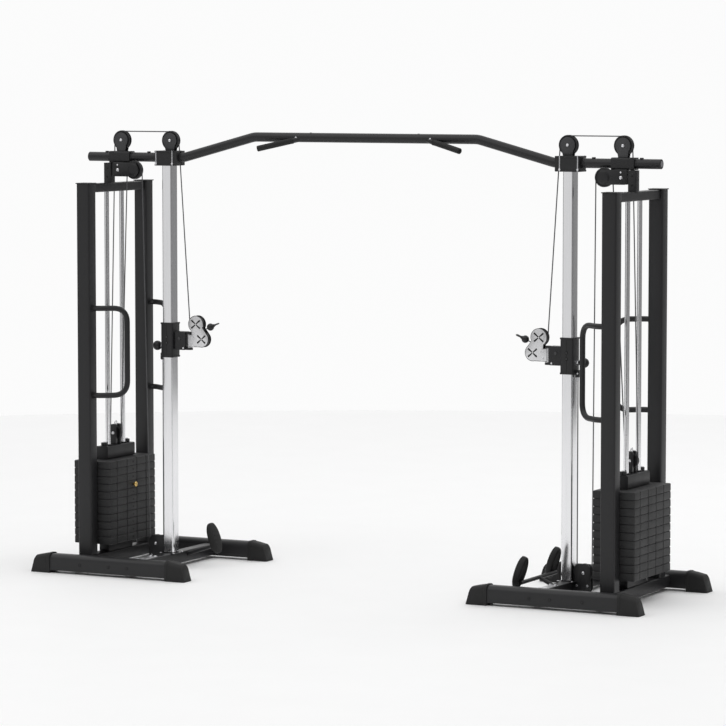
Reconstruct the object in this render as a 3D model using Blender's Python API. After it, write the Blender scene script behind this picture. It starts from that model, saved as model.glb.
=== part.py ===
"""Cable crossover machine: two weight stack towers joined by a pull-up bar.

Metres, +Z up, +X to the machine's right, the floor at Z = 0. Each tower is modelled once, in its own
coordinates: X runs outward from the column's centre line, Y to the rear. The left tower is its mirror image.
"""

import math

import bmesh
import bpy
from mathutils import Matrix, Vector

# Layout of the machine.
SIDES = {"left": -1, "right": 1}
COLUMN_X = 1.130
COLUMN_Y = -0.010
GAP = 0.0003

# Floor beams across the front and the rear, with rubber feet on their ends.
BEAM_X = (-0.343, 0.570)
FRONT_BEAM_Y = -0.425
REAR_BEAM_Y = 0.445
BEAM_HALF = 0.0375
BEAM_Z = (0.014, 0.098)
BEAM_SHOULDER = 0.029
FOOT_LENGTH = 0.115
FOOT_HALF = 0.0425
FOOT_TIP_HALF = 0.038
FOOT_TOP = 0.103
FOOT_TIP_TOP = 0.086

# Tubes between the two floor beams.
SIDE_TUBE = (0.335, 0.035, 0.018, 0.080)
COLUMN_RAIL = (0.0, 0.030, 0.018, 0.078)

# Foot pads on arms from the column rail: one on the left tower, two on a cross tube on the right one.
PADDLE_HALF = (0.018, 0.043, 0.082)
PADDLE_LEAN = 18
PADDLE_Z = 0.150
PADDLE_ARM_RADIUS = 0.010
PADDLE_ARM_FOOT = (-0.020, 0.055)
LEFT_PADDLE = (-0.190, 0.120)
RIGHT_PADDLES = ((-0.125, -0.300), (-0.125, 0.090))
CROSS_TUBE = (-0.115, -0.315, 0.105, 0.100)
CROSS_TUBE_ARM_Y = -0.100

# Uprights of the stack frame, and the bar between their tops.
UPRIGHT_X = 0.337
UPRIGHT_HALF = (0.038, 0.036)
FRONT_UPRIGHT_Y = -0.275
REAR_UPRIGHT_Y = 0.305
UPRIGHT_TOP = 2.005
CAP_HALF = 0.041
CAP_HEIGHT = 0.005
CROSSBAR_HALF = 0.025
CROSSBAR_Z = (1.954, 1.9995)
POST_X = 0.345
POST_Y = -0.028
POST_HALF = 0.022
CABLE_HOLE = (0.3335, 0.002, 0.0085)

# Grab handles on the uprights.
HANDLE_RADIUS = 0.014
HANDLE_Z = (0.910, 1.360)
HANDLE_BAR_X = 0.149
FRONT_HANDLE_Y = -0.185
REAR_HANDLE_Y = 0.220
HANDLE_BEND = 0.075
HANDLE_STUB = 0.035
HANDLE_STUB_BEND = 0.015

# Column and what is fixed on its top.
COLUMN_HALF = (0.028, 0.033)
COLUMN_Z = (0.0783, 2.0907)
BRACKET_HALF = (0.066, 0.045)
BRACKET_Z = (2.091, 2.168)

# Sleeve round the tube over the weight stack, with the return pulley's cheeks under it.
SLEEVE_X = (0.225, 0.346)
SLEEVE_HALF = 0.030
RETURN_CHEEK_X = (0.170, 0.318)
RETURN_BLOCK_X = (0.252, 0.316)
RETURN_DROP = 0.034
RETURN_BOLT_X = 0.285

# Pull-up bar.
TUBE_RADIUS = 0.024
TUBE_BORE = 0.0252
TUBE_Z = 2.133
BAR_Z = 2.243
BAR_END_X = 1.610
BAR_SLOPE_X = (1.045, 0.630)
BAR_BEND = 0.018
GRIP_RADIUS = 0.015
GRIP_START = (0.330, -0.010, 2.243)
GRIP_END = (0.570, -0.090, 2.185)
COLUMN_SLOT = (-0.073, -0.050)
STACK_SLOT = (0.3195, 0.3400)
SLOT_HALF = 0.0065

# Cable, and the pulleys as (X, Y, Z, outer radius, pitch radius, turn of the cable seen from the front).
CABLE_RADIUS = 0.003
GROOVE_CLEARANCE = 0.0014
UPPER_SWIVEL = (-0.160, 0.0, 1.275, 0.0415, 0.0425, 1)
LOWER_SWIVEL = (-0.193, 0.0, 1.198, 0.0385, 0.0413, 1)
COLUMN_PULLEY = (-0.010, 0.0, 2.220, 0.050, 0.0455, -1)
STACK_PULLEY = (0.282, 0.0, 2.220, 0.050, 0.0455, -1)
BLOCK_PULLEY = (0.332, 0.0, 0.690, 0.036, 0.033, -1)
RETURN_PULLEY = (0.192, -0.030, 2.066, 0.047, 0.0445, 1)
BASE_PULLEY = (0.085, 0.0, 0.123, 0.045, 0.040, -1)
PULLEY_HALF = 0.010
BORE_RADIUS = 0.0068
AXLE_RADIUS = 0.006
CHEEK_Y = (0.0125, 0.0165)
BOLT_HEAD = (0.011, 0.006)
CHEEK_RADIUS = 0.0395
COLUMN_CHEEK_NECK = 0.024
STACK_CHEEK_NECK = 0.024
BASE_CHEEK = (
    (0.015, 0.025),
    (0.112, 0.025),
    (0.124, 0.045),
    (0.124, 0.145),
    (0.108, 0.165),
    (0.046, 0.165),
    (0.034, 0.150),
    (0.034, 0.0775),
    (0.015, 0.0775),
)

# Weight stack.
PLATE_COUNT = 11
LIFTED_COUNT = 4
PLATE_HEIGHT = 0.0393
STACK_Z = 0.130
STACK_X = (0.2275, 0.4470)
STACK_Y = (-0.232, 0.228)
STACK_CORNER = 0.012
PLATE_LIP = 0.003
ROD_X = 0.335
ROD_Y = 0.075
ROD_RADIUS = 0.0125
ROD_BORE = 0.0140
ROD_TOP = 1.9535
STRAP_HALF = (0.030, 0.120)
STRAP_Z = (0.0805, 0.1297)
STEM_RADIUS = 0.011
STEM_BORE = 0.0130
HEAD_HALF_X = 0.036
HEAD_HALF_Y = 0.1375
HEAD_TOP = 0.630
FORK_HALF_X = 0.0165
FORK_OUTER_Y = 0.030
FORK_RISE = 0.047
PIN_RADIUS = 0.004
PIN_BORE = 0.0055
PIN_KNOB_RADIUS = 0.013
PIN_KNOB_X = (0.2055, 0.2265)

# Carriage on the column, and the swivel head that hinges on it.
CARRIAGE_HALF = (0.035, 0.040)
CARRIAGE_Z = (1.100, 1.280)
SLIDE_CLEARANCE = 0.0007
HINGE_X = -0.1175
HINGE_BLOCK_X = -0.100
HINGE_BLOCK_HALF = 0.022
HINGE_PIN_RADIUS = 0.005
HINGE_Z = (1.140, 1.235)
EAR_HEIGHT = 0.012
EAR_RADIUS = 0.015
KNUCKLE_Z = (1.158, 1.219)
KNUCKLE_REACH = 0.0325
KNUCKLE_RADIUS = 0.0135
UPPER_LOBE = 0.045
LOWER_LOBE = 0.042
KNOB_Z = 1.157
KNOB_X = 0.077
KNOB_RADIUS = 0.025
LATCH_RADIUS = 0.006
LATCH_BORE = 0.0072
LATCH_BUSH_RADIUS = 0.013
LUG_Z = (1.085, 1.121)
LUG_REACH = 0.014
LUG_HALF = 0.010
STOP_DISTANCE = 0.068
STOP_RADIUS = 0.019
FERRULE_END = 0.032
EYE_DISTANCE = 0.041
EYE_RADIUS = 0.011
EYE_THICKNESS = 0.003

# Colours, as (red, green, blue, roughness, metallic).
MATERIALS = {
    "black_steel": (0.018, 0.018, 0.019, 0.40, 0.0),
    "chrome": (0.80, 0.80, 0.81, 0.10, 1.0),
    "silver": (0.70, 0.70, 0.70, 0.35, 0.8),
    "black_plastic": (0.012, 0.012, 0.012, 0.50, 0.0),
    "plate_black": (0.030, 0.030, 0.030, 0.75, 0.0),
    "brass": (0.72, 0.50, 0.18, 0.30, 1.0),
    "cable_grey": (0.10, 0.10, 0.10, 0.45, 0.0),
}


def clear_scene():
    for obj in list(bpy.data.objects):
        bpy.data.objects.remove(obj)


def make_material(name):
    red, green, blue, roughness, metallic = MATERIALS[name]
    material = bpy.data.materials.new(name)
    material.use_nodes = True
    shader = material.node_tree.nodes["Principled BSDF"]
    shader.inputs["Base Color"].default_value = (red, green, blue, 1.0)
    shader.inputs["Roughness"].default_value = roughness
    shader.inputs["Metallic"].default_value = metallic
    return material


def solid_from(shape):
    """A working object from a bmesh, with its faces turned outward."""
    bmesh.ops.recalc_face_normals(shape, faces=shape.faces)
    mesh = bpy.data.meshes.new("piece")
    shape.to_mesh(mesh)
    shape.free()
    piece = bpy.data.objects.new("piece", mesh)
    bpy.context.scene.collection.objects.link(piece)
    return piece


def lofted(rings, closed=False):
    """A solid through rings of points. Its two ends are capped, or joined to each other when it is closed."""
    shape = bmesh.new()
    rows = [[shape.verts.new(point) for point in ring] for ring in rings]
    pairs = list(zip(rows, rows[1:]))
    if closed:
        pairs.append((rows[-1], rows[0]))
    for lower, upper in pairs:
        for index in range(len(lower)):
            after = (index + 1) % len(lower)
            shape.faces.new((lower[index], lower[after], upper[after], upper[index]))
    if not closed:
        shape.faces.new(rows[0])
        shape.faces.new(rows[-1])
    return solid_from(shape)


def rectangle(low, high, corner=0.0, steps=3):
    """A rectangle's outline, with its corners rounded by quarter circles."""
    if corner == 0.0:
        return [(low[0], low[1]), (high[0], low[1]), (high[0], high[1]), (low[0], high[1])]
    outline = []
    centres = (
        (high[0] - corner, high[1] - corner),
        (low[0] + corner, high[1] - corner),
        (low[0] + corner, low[1] + corner),
        (high[0] - corner, low[1] + corner),
    )
    for quarter, (across, up) in enumerate(centres):
        for step in range(steps + 1):
            angle = math.radians(90) * (quarter + step / steps)
            outline.append((across + corner * math.cos(angle), up + corner * math.sin(angle)))
    return outline


def extruded(outline, axis, low, high):
    """An outline drawn out along an axis. Its pairs are the other two coordinates, in order."""
    rings = []
    for height in (low, high):
        if axis == "x":
            rings.append([(height, first, second) for first, second in outline])
        elif axis == "y":
            rings.append([(first, height, second) for first, second in outline])
        else:
            rings.append([(first, second, height) for first, second in outline])
    return lofted(rings)


def box(low, high, axis="z", corner=0.0, steps=3):
    """A box between two corners, with the edges along one axis rounded."""
    across = [index for index, letter in enumerate("xyz") if letter != axis]
    along = "xyz".index(axis)
    first = [low[index] for index in across]
    second = [high[index] for index in across]
    return extruded(rectangle(first, second, corner, steps), axis, low[along], high[along])


def ring_about(centre, direction, radius, steps):
    """Points of a circle about a direction."""
    turn = Vector(direction).to_track_quat("Z", "Y")
    points = []
    for step in range(steps):
        angle = math.tau * step / steps
        offset = Vector((math.cos(angle), math.sin(angle), 0.0)) * radius
        points.append(Vector(centre) + turn @ offset)
    return points


def rod(start, end, radius, steps=12, end_radius=None):
    """A round bar between two points, or a cone when its end has a radius of its own."""
    direction = Vector(end) - Vector(start)
    last = radius if end_radius is None else end_radius
    return lofted([ring_about(start, direction, radius, steps), ring_about(end, direction, last, steps)])


def cross_rod(x, z, radius, low, high, steps=12):
    """A round bar along Y."""
    return rod((x, low, z), (x, high, z), radius, steps)


def ball(centre, radius, steps=12, rows=6):
    """A ball of rings along X, with small flats at its ends."""
    rings = []
    for row in range(rows + 1):
        angle = math.pi * (0.06 + 0.88 * row / rows)
        middle = Vector(centre) - Vector((radius * math.cos(angle), 0.0, 0.0))
        rings.append(ring_about(middle, (1, 0, 0), radius * math.sin(angle), steps))
    return lofted(rings)


def eased(corners, bend, steps=4):
    """The route through some corners, with each inner corner eased into a curve."""
    route = [Vector(corners[0])]
    for before, corner, after in zip(corners, corners[1:], corners[2:]):
        corner = Vector(corner)
        enter = corner + (Vector(before) - corner).normalized() * bend
        leave = corner + (Vector(after) - corner).normalized() * bend
        for step in range(steps + 1):
            part = step / steps
            route.append(enter.lerp(corner, part).lerp(corner.lerp(leave, part), part))
    route.append(Vector(corners[-1]))
    return route


def swept(route, radius, steps=8, closed=False):
    """A round bar along a route, with its rings turned as little as possible from one to the next."""
    count = len(route)
    tangents = []
    for index in range(count):
        before = route[index - 1] if closed or index else route[0]
        after = route[(index + 1) % count] if closed or index < count - 1 else route[-1]
        tangents.append((after - before).normalized())
    side = tangents[0].orthogonal().normalized()
    rings = []
    for index in range(count):
        if index:
            side = tangents[index - 1].rotation_difference(tangents[index]) @ side
        other = tangents[index].cross(side)
        ring = []
        for step in range(steps):
            angle = math.tau * step / steps
            ring.append(route[index] + radius * (math.cos(angle) * side + math.sin(angle) * other))
        rings.append(ring)
    return lofted(rings, closed)


def joined(pieces, cuts=()):
    """One mesh: the pieces united, less the cuts."""
    base = pieces[0]
    changes = [("UNION", piece) for piece in pieces[1:]] + [("DIFFERENCE", cut) for cut in cuts]
    for operation, other in changes:
        change = base.modifiers.new(operation, "BOOLEAN")
        change.operation = operation
        change.object = other
    bpy.context.view_layer.update()
    graph = bpy.context.evaluated_depsgraph_get()
    mesh = bpy.data.meshes.new_from_object(base.evaluated_get(graph))
    for piece in (*pieces, *cuts):
        old_mesh = piece.data
        bpy.data.objects.remove(piece)
        bpy.data.meshes.remove(old_mesh)
    return mesh


def finish(name, mesh, material, parent=None):
    """Names the mesh's object, shades it and puts it under its tower."""
    mesh.name = name
    mesh.materials.clear()
    mesh.materials.append(bpy.data.materials[material])
    mesh.shade_smooth()
    mesh.set_sharp_from_angle(angle=math.radians(32))
    obj = bpy.data.objects.new(name, mesh)
    bpy.context.scene.collection.objects.link(obj)
    obj.parent = parent
    return obj


def add_part(tower, name, pieces, cuts=(), origin=(0.0, 0.0, 0.0), material="black_steel"):
    """A sub-part of one tower, drawn in tower coordinates, with its origin on its joint's axis."""
    mesh = joined(pieces, cuts)
    mesh.transform(Matrix.Translation(-Vector(origin)))
    side = SIDES[tower.name.split("_")[0]]
    if side < 0:
        mesh.transform(Matrix.Scale(-1, 4, (1, 0, 0)))
        mesh.flip_normals()
    obj = finish(tower.name.replace("tower", name), mesh, material, tower)
    obj.location = (side * origin[0], origin[1], origin[2])
    return obj


def beam_section(x, y, half, bottom, top):
    """One cross-section of a floor beam: flat sides and a rounded top."""
    shoulder = BEAM_SHOULDER
    outline = [(y - half, bottom), (y + half, bottom)]
    for centre, start in ((y + half - shoulder, 0), (y - half + shoulder, 90)):
        for step in range(4):
            angle = math.radians(start + 30 * step)
            outline.append((centre + shoulder * math.cos(angle), top - shoulder + shoulder * math.sin(angle)))
    return [(x, across, up) for across, up in outline]


def floor_beam(y):
    """A floor beam with a foot on each end, which tapers to its tip."""
    step = 0.001
    left, right = BEAM_X
    sections = (
        (left, FOOT_TIP_HALF, 0.0, FOOT_TIP_TOP),
        (left + FOOT_LENGTH, FOOT_HALF, 0.0, FOOT_TOP),
        (left + FOOT_LENGTH + step, BEAM_HALF, *BEAM_Z),
        (right - FOOT_LENGTH - step, BEAM_HALF, *BEAM_Z),
        (right - FOOT_LENGTH, FOOT_HALF, 0.0, FOOT_TOP),
        (right, FOOT_TIP_HALF, 0.0, FOOT_TIP_TOP),
    )
    return lofted([beam_section(x, y, half, bottom, top) for x, half, bottom, top in sections])


def floor_tube(centre, half, bottom, top):
    """A square tube along Y between the faces of the two floor beams."""
    front = FRONT_BEAM_Y + BEAM_HALF + GAP
    rear = REAR_BEAM_Y - BEAM_HALF - GAP
    return box((centre - half, front, bottom), (centre + half, rear, top), "y", 0.004, 1)


def paddle(x, y, z):
    """An oval pad on edge whose face leans back toward the tower."""
    lean = Matrix.Rotation(math.radians(PADDLE_LEAN), 3, "Y")
    deep, across, up = PADDLE_HALF
    steps = 14
    rings = []
    for level, shrink in ((-1.0, 0.80), (-0.55, 1.0), (0.55, 1.0), (1.0, 0.80)):
        ring = []
        for step in range(steps):
            angle = math.tau * step / steps
            point = Vector((level * deep, across * shrink * math.cos(angle), up * shrink * math.sin(angle)))
            ring.append(Vector((x, y, z)) + lean @ point)
        rings.append(ring)
    return lofted(rings)


def pulley(spec):
    """A grooved wheel with a bore, spun about an axis along Y."""
    x, y, z, outer, pitch, _ = spec
    groove = pitch - CABLE_RADIUS - GROOVE_CLEARANCE
    rim = 0.0075
    floor = 0.0042
    half = PULLEY_HALF
    profile = (
        (BORE_RADIUS, -half),
        (outer, -half),
        (outer, -rim),
        (groove, -floor),
        (groove, floor),
        (outer, rim),
        (outer, half),
        (BORE_RADIUS, half),
    )
    steps = 16
    rings = []
    for step in range(steps):
        angle = math.tau * step / steps
        rings.append([(x + r * math.cos(angle), y + h, z + r * math.sin(angle)) for r, h in profile])
    return lofted(rings, closed=True)


def add_pulley(tower, name, spec):
    add_part(tower, name, [pulley(spec)], origin=spec[:3], material="black_plastic")


def axle(spec):
    """The bolt through a pulley's two cheeks, with a head on each side."""
    x, y, z = spec[:3]
    radius, height = BOLT_HEAD
    reach = CHEEK_Y[1]
    pieces = [cross_rod(x, z, AXLE_RADIUS, y - reach - 0.001, y + reach + 0.001)]
    for way in (-1, 1):
        low, high = sorted((y + way * (reach - 0.001), y + way * (reach + height)))
        pieces.append(cross_rod(x, z, radius, low, high))
    return pieces


def lobe(spec, radius, start, end, steps):
    """Points of an arc about a pulley's centre, between two angles in degrees."""
    points = []
    for step in range(steps + 1):
        angle = math.radians(start + (end - start) * step / steps)
        points.append((spec[0] + radius * math.cos(angle), spec[2] + radius * math.sin(angle)))
    return points


def cheeks(spec, radius, neck_half, neck_z):
    """Two teardrop plates, one on each side of a pulley, with a neck that reaches down to neck_z."""
    outline = [(spec[0] - neck_half, neck_z), (spec[0] + neck_half, neck_z)]
    outline += lobe(spec, radius, -40, 220, 10)
    pieces = []
    for low, high in (CHEEK_Y, (-CHEEK_Y[1], -CHEEK_Y[0])):
        pieces.append(extruded(outline, "y", spec[1] + low, spec[1] + high))
    return pieces


def tube_bore(low, high):
    """The round bore that takes the pull-up bar's tube."""
    return rod((low, 0.0, TUBE_Z), (high, 0.0, TUBE_Z), TUBE_BORE, 16)


def cable_slot(low, high, bottom, top):
    """A slot that the cable runs down through."""
    return box((low, -SLOT_HALF, bottom), (high, SLOT_HALF, top))


def add_frame(tower):
    add_part(tower, "front_beam", [floor_beam(FRONT_BEAM_Y)])
    add_part(tower, "rear_beam", [floor_beam(REAR_BEAM_Y)])
    add_part(tower, "side_tube", [floor_tube(*SIDE_TUBE)])
    add_column_rail(tower)
    add_upright(tower, "front_upright", FRONT_UPRIGHT_Y)
    add_upright(tower, "rear_upright", REAR_UPRIGHT_Y)
    add_crossbar(tower)
    add_handle(tower, "front_handle", FRONT_UPRIGHT_Y, FRONT_HANDLE_Y)
    add_handle(tower, "rear_handle", REAR_UPRIGHT_Y, REAR_HANDLE_Y)


def base_bracket():
    """Two cheeks on the column rail's outer side, and the base pulley's bolt."""
    pieces = []
    for low, high in (CHEEK_Y, (-CHEEK_Y[1], -CHEEK_Y[0])):
        pieces.append(extruded(BASE_CHEEK, "y", low, high))
    return pieces + axle(BASE_PULLEY)


def paddle_arm(x, y, z):
    """A round arm from a foot pad or its cross tube down to the column rail."""
    foot_x, foot_z = PADDLE_ARM_FOOT
    return rod((x, y, z), (foot_x, y, foot_z), PADDLE_ARM_RADIUS)


def right_paddles():
    """Two pads on a cross tube, carried by a short arm from the rail."""
    x, front, rear, z = CROSS_TUBE
    tube = rod((x, front, z), (x, rear, z), PADDLE_ARM_RADIUS)
    pads = [paddle(*place, PADDLE_Z) for place in RIGHT_PADDLES]
    return pads + [tube, paddle_arm(x, CROSS_TUBE_ARM_Y, z)]


def left_paddles():
    """One pad on a short arm from the rail."""
    x, y = LEFT_PADDLE
    return [paddle(x, y, PADDLE_Z), paddle_arm(x + 0.005, y, PADDLE_Z - 0.040)]


def add_column_rail(tower):
    paddles = left_paddles() if tower.name.startswith("left") else right_paddles()
    add_part(tower, "column_rail", [floor_tube(*COLUMN_RAIL)] + base_bracket() + paddles)


def add_upright(tower, name, y):
    """A square tube that stands on the side tube, with a flat cap on its top."""
    across, deep = UPRIGHT_HALF
    low = (UPRIGHT_X - across, y - deep, SIDE_TUBE[3] + GAP)
    high = (UPRIGHT_X + across, y + deep, UPRIGHT_TOP)
    shaft = box(low, high, corner=0.006, steps=2)
    low = (UPRIGHT_X - CAP_HALF, y - CAP_HALF, UPRIGHT_TOP - CAP_HEIGHT)
    high = (UPRIGHT_X + CAP_HALF, y + CAP_HALF, UPRIGHT_TOP)
    add_part(tower, name, [shaft, box(low, high, corner=0.004, steps=1)])


def add_crossbar(tower):
    """The bar between the uprights' tops, with the post that carries the pull-up bar."""
    front = FRONT_UPRIGHT_Y + UPRIGHT_HALF[1] + GAP
    rear = REAR_UPRIGHT_Y - UPRIGHT_HALF[1] - GAP
    bottom, top = CROSSBAR_Z
    low = (UPRIGHT_X - CROSSBAR_HALF, front, bottom)
    bar = box(low, (UPRIGHT_X + CROSSBAR_HALF, rear, top), "y", 0.003, 1)
    post_top = TUBE_Z - SLEEVE_HALF - 2 * GAP
    low = (POST_X - POST_HALF, POST_Y - POST_HALF, top - 0.010)
    post = box(low, (POST_X + POST_HALF, POST_Y + POST_HALF, post_top), corner=0.003, steps=1)
    x, y, radius = CABLE_HOLE
    hole = rod((x, y, bottom - 0.01), (x, y, top + 0.01), radius)
    add_part(tower, "top_crossbar", [bar, post], [hole])


def add_handle(tower, name, upright_y, bar_y):
    """A bent round bar, both of whose ends stand on the upright's inner face."""
    face = UPRIGHT_X - UPRIGHT_HALF[0] - 2 * GAP
    low, high = HANDLE_Z
    corners = (
        (face, upright_y, high),
        (face - HANDLE_STUB, upright_y, high),
        (HANDLE_BAR_X, bar_y, high),
        (HANDLE_BAR_X, bar_y, low),
        (face - HANDLE_STUB, upright_y, low),
        (face, upright_y, low),
    )
    start = eased(corners[:3], HANDLE_STUB_BEND, 2)
    middle = eased((start[-2], *corners[2:4], corners[4]), HANDLE_BEND)
    end = eased(corners[3:], HANDLE_STUB_BEND, 2)
    add_part(tower, name, [swept(start[:-1] + middle[1:-1] + end[1:], HANDLE_RADIUS)])


def add_column(tower):
    across, deep = COLUMN_HALF
    low, high = COLUMN_Z
    tube = box((-across, -deep, low), (across, deep, high), corner=0.004, steps=2)
    add_part(tower, "column", [tube], material="chrome")


def add_column_bracket(tower):
    """The block on the column's top that clasps the tube and carries the column pulley."""
    across, deep = BRACKET_HALF
    bottom, top = BRACKET_Z
    body = box((-across, -deep, bottom), (across, deep, top), "y", 0.006, 2)
    pieces = [body] + axle(COLUMN_PULLEY)
    pieces += cheeks(COLUMN_PULLEY, CHEEK_RADIUS, COLUMN_CHEEK_NECK, top - 0.004)
    cuts = [tube_bore(-0.080, 0.080), cable_slot(*COLUMN_SLOT, bottom - 0.01, top + 0.01)]
    add_part(tower, "column_bracket", pieces, cuts)


def add_tube_clamp(tower):
    """The sleeve round the tube with the stack pulley above it and the return pulley below."""
    bottom = TUBE_Z - SLEEVE_HALF
    top = TUBE_Z + SLEEVE_HALF
    sleeve = box((SLEEVE_X[0], -SLEEVE_HALF, bottom), (SLEEVE_X[1], SLEEVE_HALF, top), "x", 0.008, 2)
    pieces = [sleeve] + axle(STACK_PULLEY)
    pieces += cheeks(STACK_PULLEY, CHEEK_RADIUS, STACK_CHEEK_NECK, top - 0.004)
    _, y, z = RETURN_PULLEY[:3]
    inner, outer = CHEEK_Y
    plate = rectangle((RETURN_CHEEK_X[0], z - RETURN_DROP), (RETURN_CHEEK_X[1], bottom + 0.002), 0.012, 2)
    for low, high in ((y + inner, y + outer), (y - outer, y - inner)):
        pieces.append(extruded(plate, "y", low, high))
    low = (RETURN_BLOCK_X[0], y - outer + 0.001, z - RETURN_DROP + 0.004)
    high = (RETURN_BLOCK_X[1], y + outer - 0.001, bottom + 0.004)
    pieces.append(box(low, high))
    pieces += axle(RETURN_PULLEY)
    pieces.append(cross_rod(RETURN_BOLT_X, z, BOLT_HEAD[0], y - outer - BOLT_HEAD[1], y))
    cuts = [tube_bore(0.200, 0.370), cable_slot(*STACK_SLOT, TUBE_Z - 0.040, TUBE_Z + 0.040)]
    add_part(tower, "tube_clamp", pieces, cuts)


def add_guide_rods(tower):
    """Two guide rods on the strap that the weight stack rests on."""
    across, deep = STRAP_HALF
    bottom, top = STRAP_Z
    strap = box((ROD_X - across, -deep, bottom), (ROD_X + across, deep, top), corner=0.004, steps=1)
    rods = []
    for y in (-ROD_Y, ROD_Y):
        rods.append(rod((ROD_X, y, bottom + 0.005), (ROD_X, y, ROD_TOP), ROD_RADIUS))
    add_part(tower, "guide_rods", [strap] + rods, material="chrome")


def stack_block(first, count, top_gap):
    """Plates one on another: their edges are notched where two plates meet."""
    rings = []
    left, right = STACK_X
    front, rear = STACK_Y
    inner = [(left + PLATE_LIP, front + PLATE_LIP), (right - PLATE_LIP, rear - PLATE_LIP)]
    outer = [(left, front), (right, rear)]
    notch = 0.004
    for plate in range(first, first + count):
        bottom = STACK_Z + plate * PLATE_HEIGHT
        top = bottom + PLATE_HEIGHT
        if plate == first:
            rings.append((bottom, inner))
        rings.append((bottom + notch, outer))
        rings.append((top - notch, outer))
        last = plate == first + count - 1
        rings.append((top - top_gap if last else top, inner))
    loops = []
    for height, (low, high) in rings:
        loops.append([(x, y, height) for x, y in rectangle(low, high, STACK_CORNER, 1)])
    return lofted(loops)


def stack_bores(bottom, top):
    """The bores for the two guide rods and the stem."""
    bores = [rod((ROD_X, y, bottom), (ROD_X, y, top), ROD_BORE) for y in (-ROD_Y, ROD_Y)]
    bores.append(rod((ROD_X, 0.0, bottom), (ROD_X, 0.0, top), STEM_BORE))
    return bores


def pin_height():
    """The height of the selector pin, in the middle of the lowest lifted plate."""
    return STACK_Z + (PLATE_COUNT - LIFTED_COUNT + 0.5) * PLATE_HEIGHT


def add_stack(tower):
    resting = PLATE_COUNT - LIFTED_COUNT
    top = STACK_Z + PLATE_COUNT * PLATE_HEIGHT
    plates = stack_block(0, resting, GAP)
    add_part(tower, "resting_plates", [plates], stack_bores(0.0, top), material="plate_black")
    plates = stack_block(resting, LIFTED_COUNT, 0.0)
    height = pin_height()
    pin_hole = rod((0.20, 0.0, height), (ROD_X + 0.020, 0.0, height), PIN_BORE)
    cuts = stack_bores(0.0, top + 0.1) + [pin_hole]
    add_part(tower, "lifted_plates", [plates], cuts, material="plate_black")
    add_head_block(tower, top + GAP)
    add_pin(tower, height)


def add_head_block(tower, bottom):
    """The tray over the plates, the fork of the block pulley and the stem down through the stack."""
    low = (ROD_X - HEAD_HALF_X, -HEAD_HALF_Y, bottom)
    tray = box(low, (ROD_X + HEAD_HALF_X, HEAD_HALF_Y, HEAD_TOP), "y", 0.006, 2)
    x, _, z = BLOCK_PULLEY[:3]
    pieces = [tray]
    for near, far in ((CHEEK_Y[0], FORK_OUTER_Y), (-FORK_OUTER_Y, -CHEEK_Y[0])):
        low = (x - FORK_HALF_X, near, HEAD_TOP - 0.004)
        pieces.append(box(low, (x + FORK_HALF_X, far, z + FORK_RISE), "y", 0.010, 2))
    reach = FORK_OUTER_Y - 0.001
    pieces.append(cross_rod(x, z, AXLE_RADIUS, -reach, reach))
    pieces.append(rod((ROD_X, 0.0, STACK_Z + 0.020), (ROD_X, 0.0, bottom + 0.010), STEM_RADIUS))
    bores = []
    for y in (-ROD_Y, ROD_Y):
        bores.append(rod((ROD_X, y, bottom - 0.02), (ROD_X, y, HEAD_TOP + 0.02), ROD_BORE))
    height = pin_height()
    bores.append(rod((ROD_X - 0.030, 0.0, height), (ROD_X + 0.030, 0.0, height), PIN_BORE))
    add_part(tower, "head_block", pieces, bores)


def add_pin(tower, height):
    """The selector pin, with a ring knob outside the plates."""
    face = STACK_X[0]
    shaft = rod((face - 0.004, 0.0, height), (ROD_X + 0.014, 0.0, height), PIN_RADIUS)
    knob = rod((PIN_KNOB_X[0], 0.0, height), (PIN_KNOB_X[1], 0.0, height), PIN_KNOB_RADIUS, 14)
    origin = (face, 0.0, height)
    add_part(tower, "selector_pin", [knob, shaft], origin=origin, material="brass")


def add_carriage(tower):
    """The sleeve on the column, with the swivel's hinge inside and the cable's lug outside."""
    across, deep = CARRIAGE_HALF
    bottom, top = CARRIAGE_Z
    sleeve = box((-across, -deep, bottom), (across, deep, top), corner=0.006, steps=2)
    low = (HINGE_BLOCK_X, -HINGE_BLOCK_HALF, HINGE_Z[0])
    block = box(low, (-across + 0.002, HINGE_BLOCK_HALF, HINGE_Z[1]))
    pieces = [sleeve, block]
    inset = 0.0005
    for low, high in ((HINGE_Z[0], HINGE_Z[0] + EAR_HEIGHT), (HINGE_Z[1] - EAR_HEIGHT, HINGE_Z[1])):
        pieces.append(rod((HINGE_X, 0.0, low + inset), (HINGE_X, 0.0, high - inset), EAR_RADIUS))
        half = EAR_RADIUS - inset
        pieces.append(box((HINGE_X, -half, low + inset), (HINGE_BLOCK_X + 0.004, half, high - inset)))
    pin_low = (HINGE_X, 0.0, HINGE_Z[0] + 0.003)
    pieces.append(rod(pin_low, (HINGE_X, 0.0, HINGE_Z[1] - 0.003), HINGE_PIN_RADIUS, 10))
    low = (across - 0.001, -LUG_HALF, LUG_Z[0])
    pieces.append(box(low, (across + LUG_REACH, LUG_HALF, LUG_Z[1])))
    pieces.append(rod((across - 0.001, 0.0, KNOB_Z), (across + 0.010, 0.0, KNOB_Z), LATCH_BUSH_RADIUS))
    room_across = COLUMN_HALF[0] + SLIDE_CLEARANCE
    room_deep = COLUMN_HALF[1] + SLIDE_CLEARANCE
    room = box((-room_across, -room_deep, bottom - 0.05), (room_across, room_deep, top + 0.05))
    pin_hole = rod((0.020, 0.0, KNOB_Z), (across + 0.020, 0.0, KNOB_Z), LATCH_BORE)
    add_part(tower, "carriage", pieces, [room, pin_hole])


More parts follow.
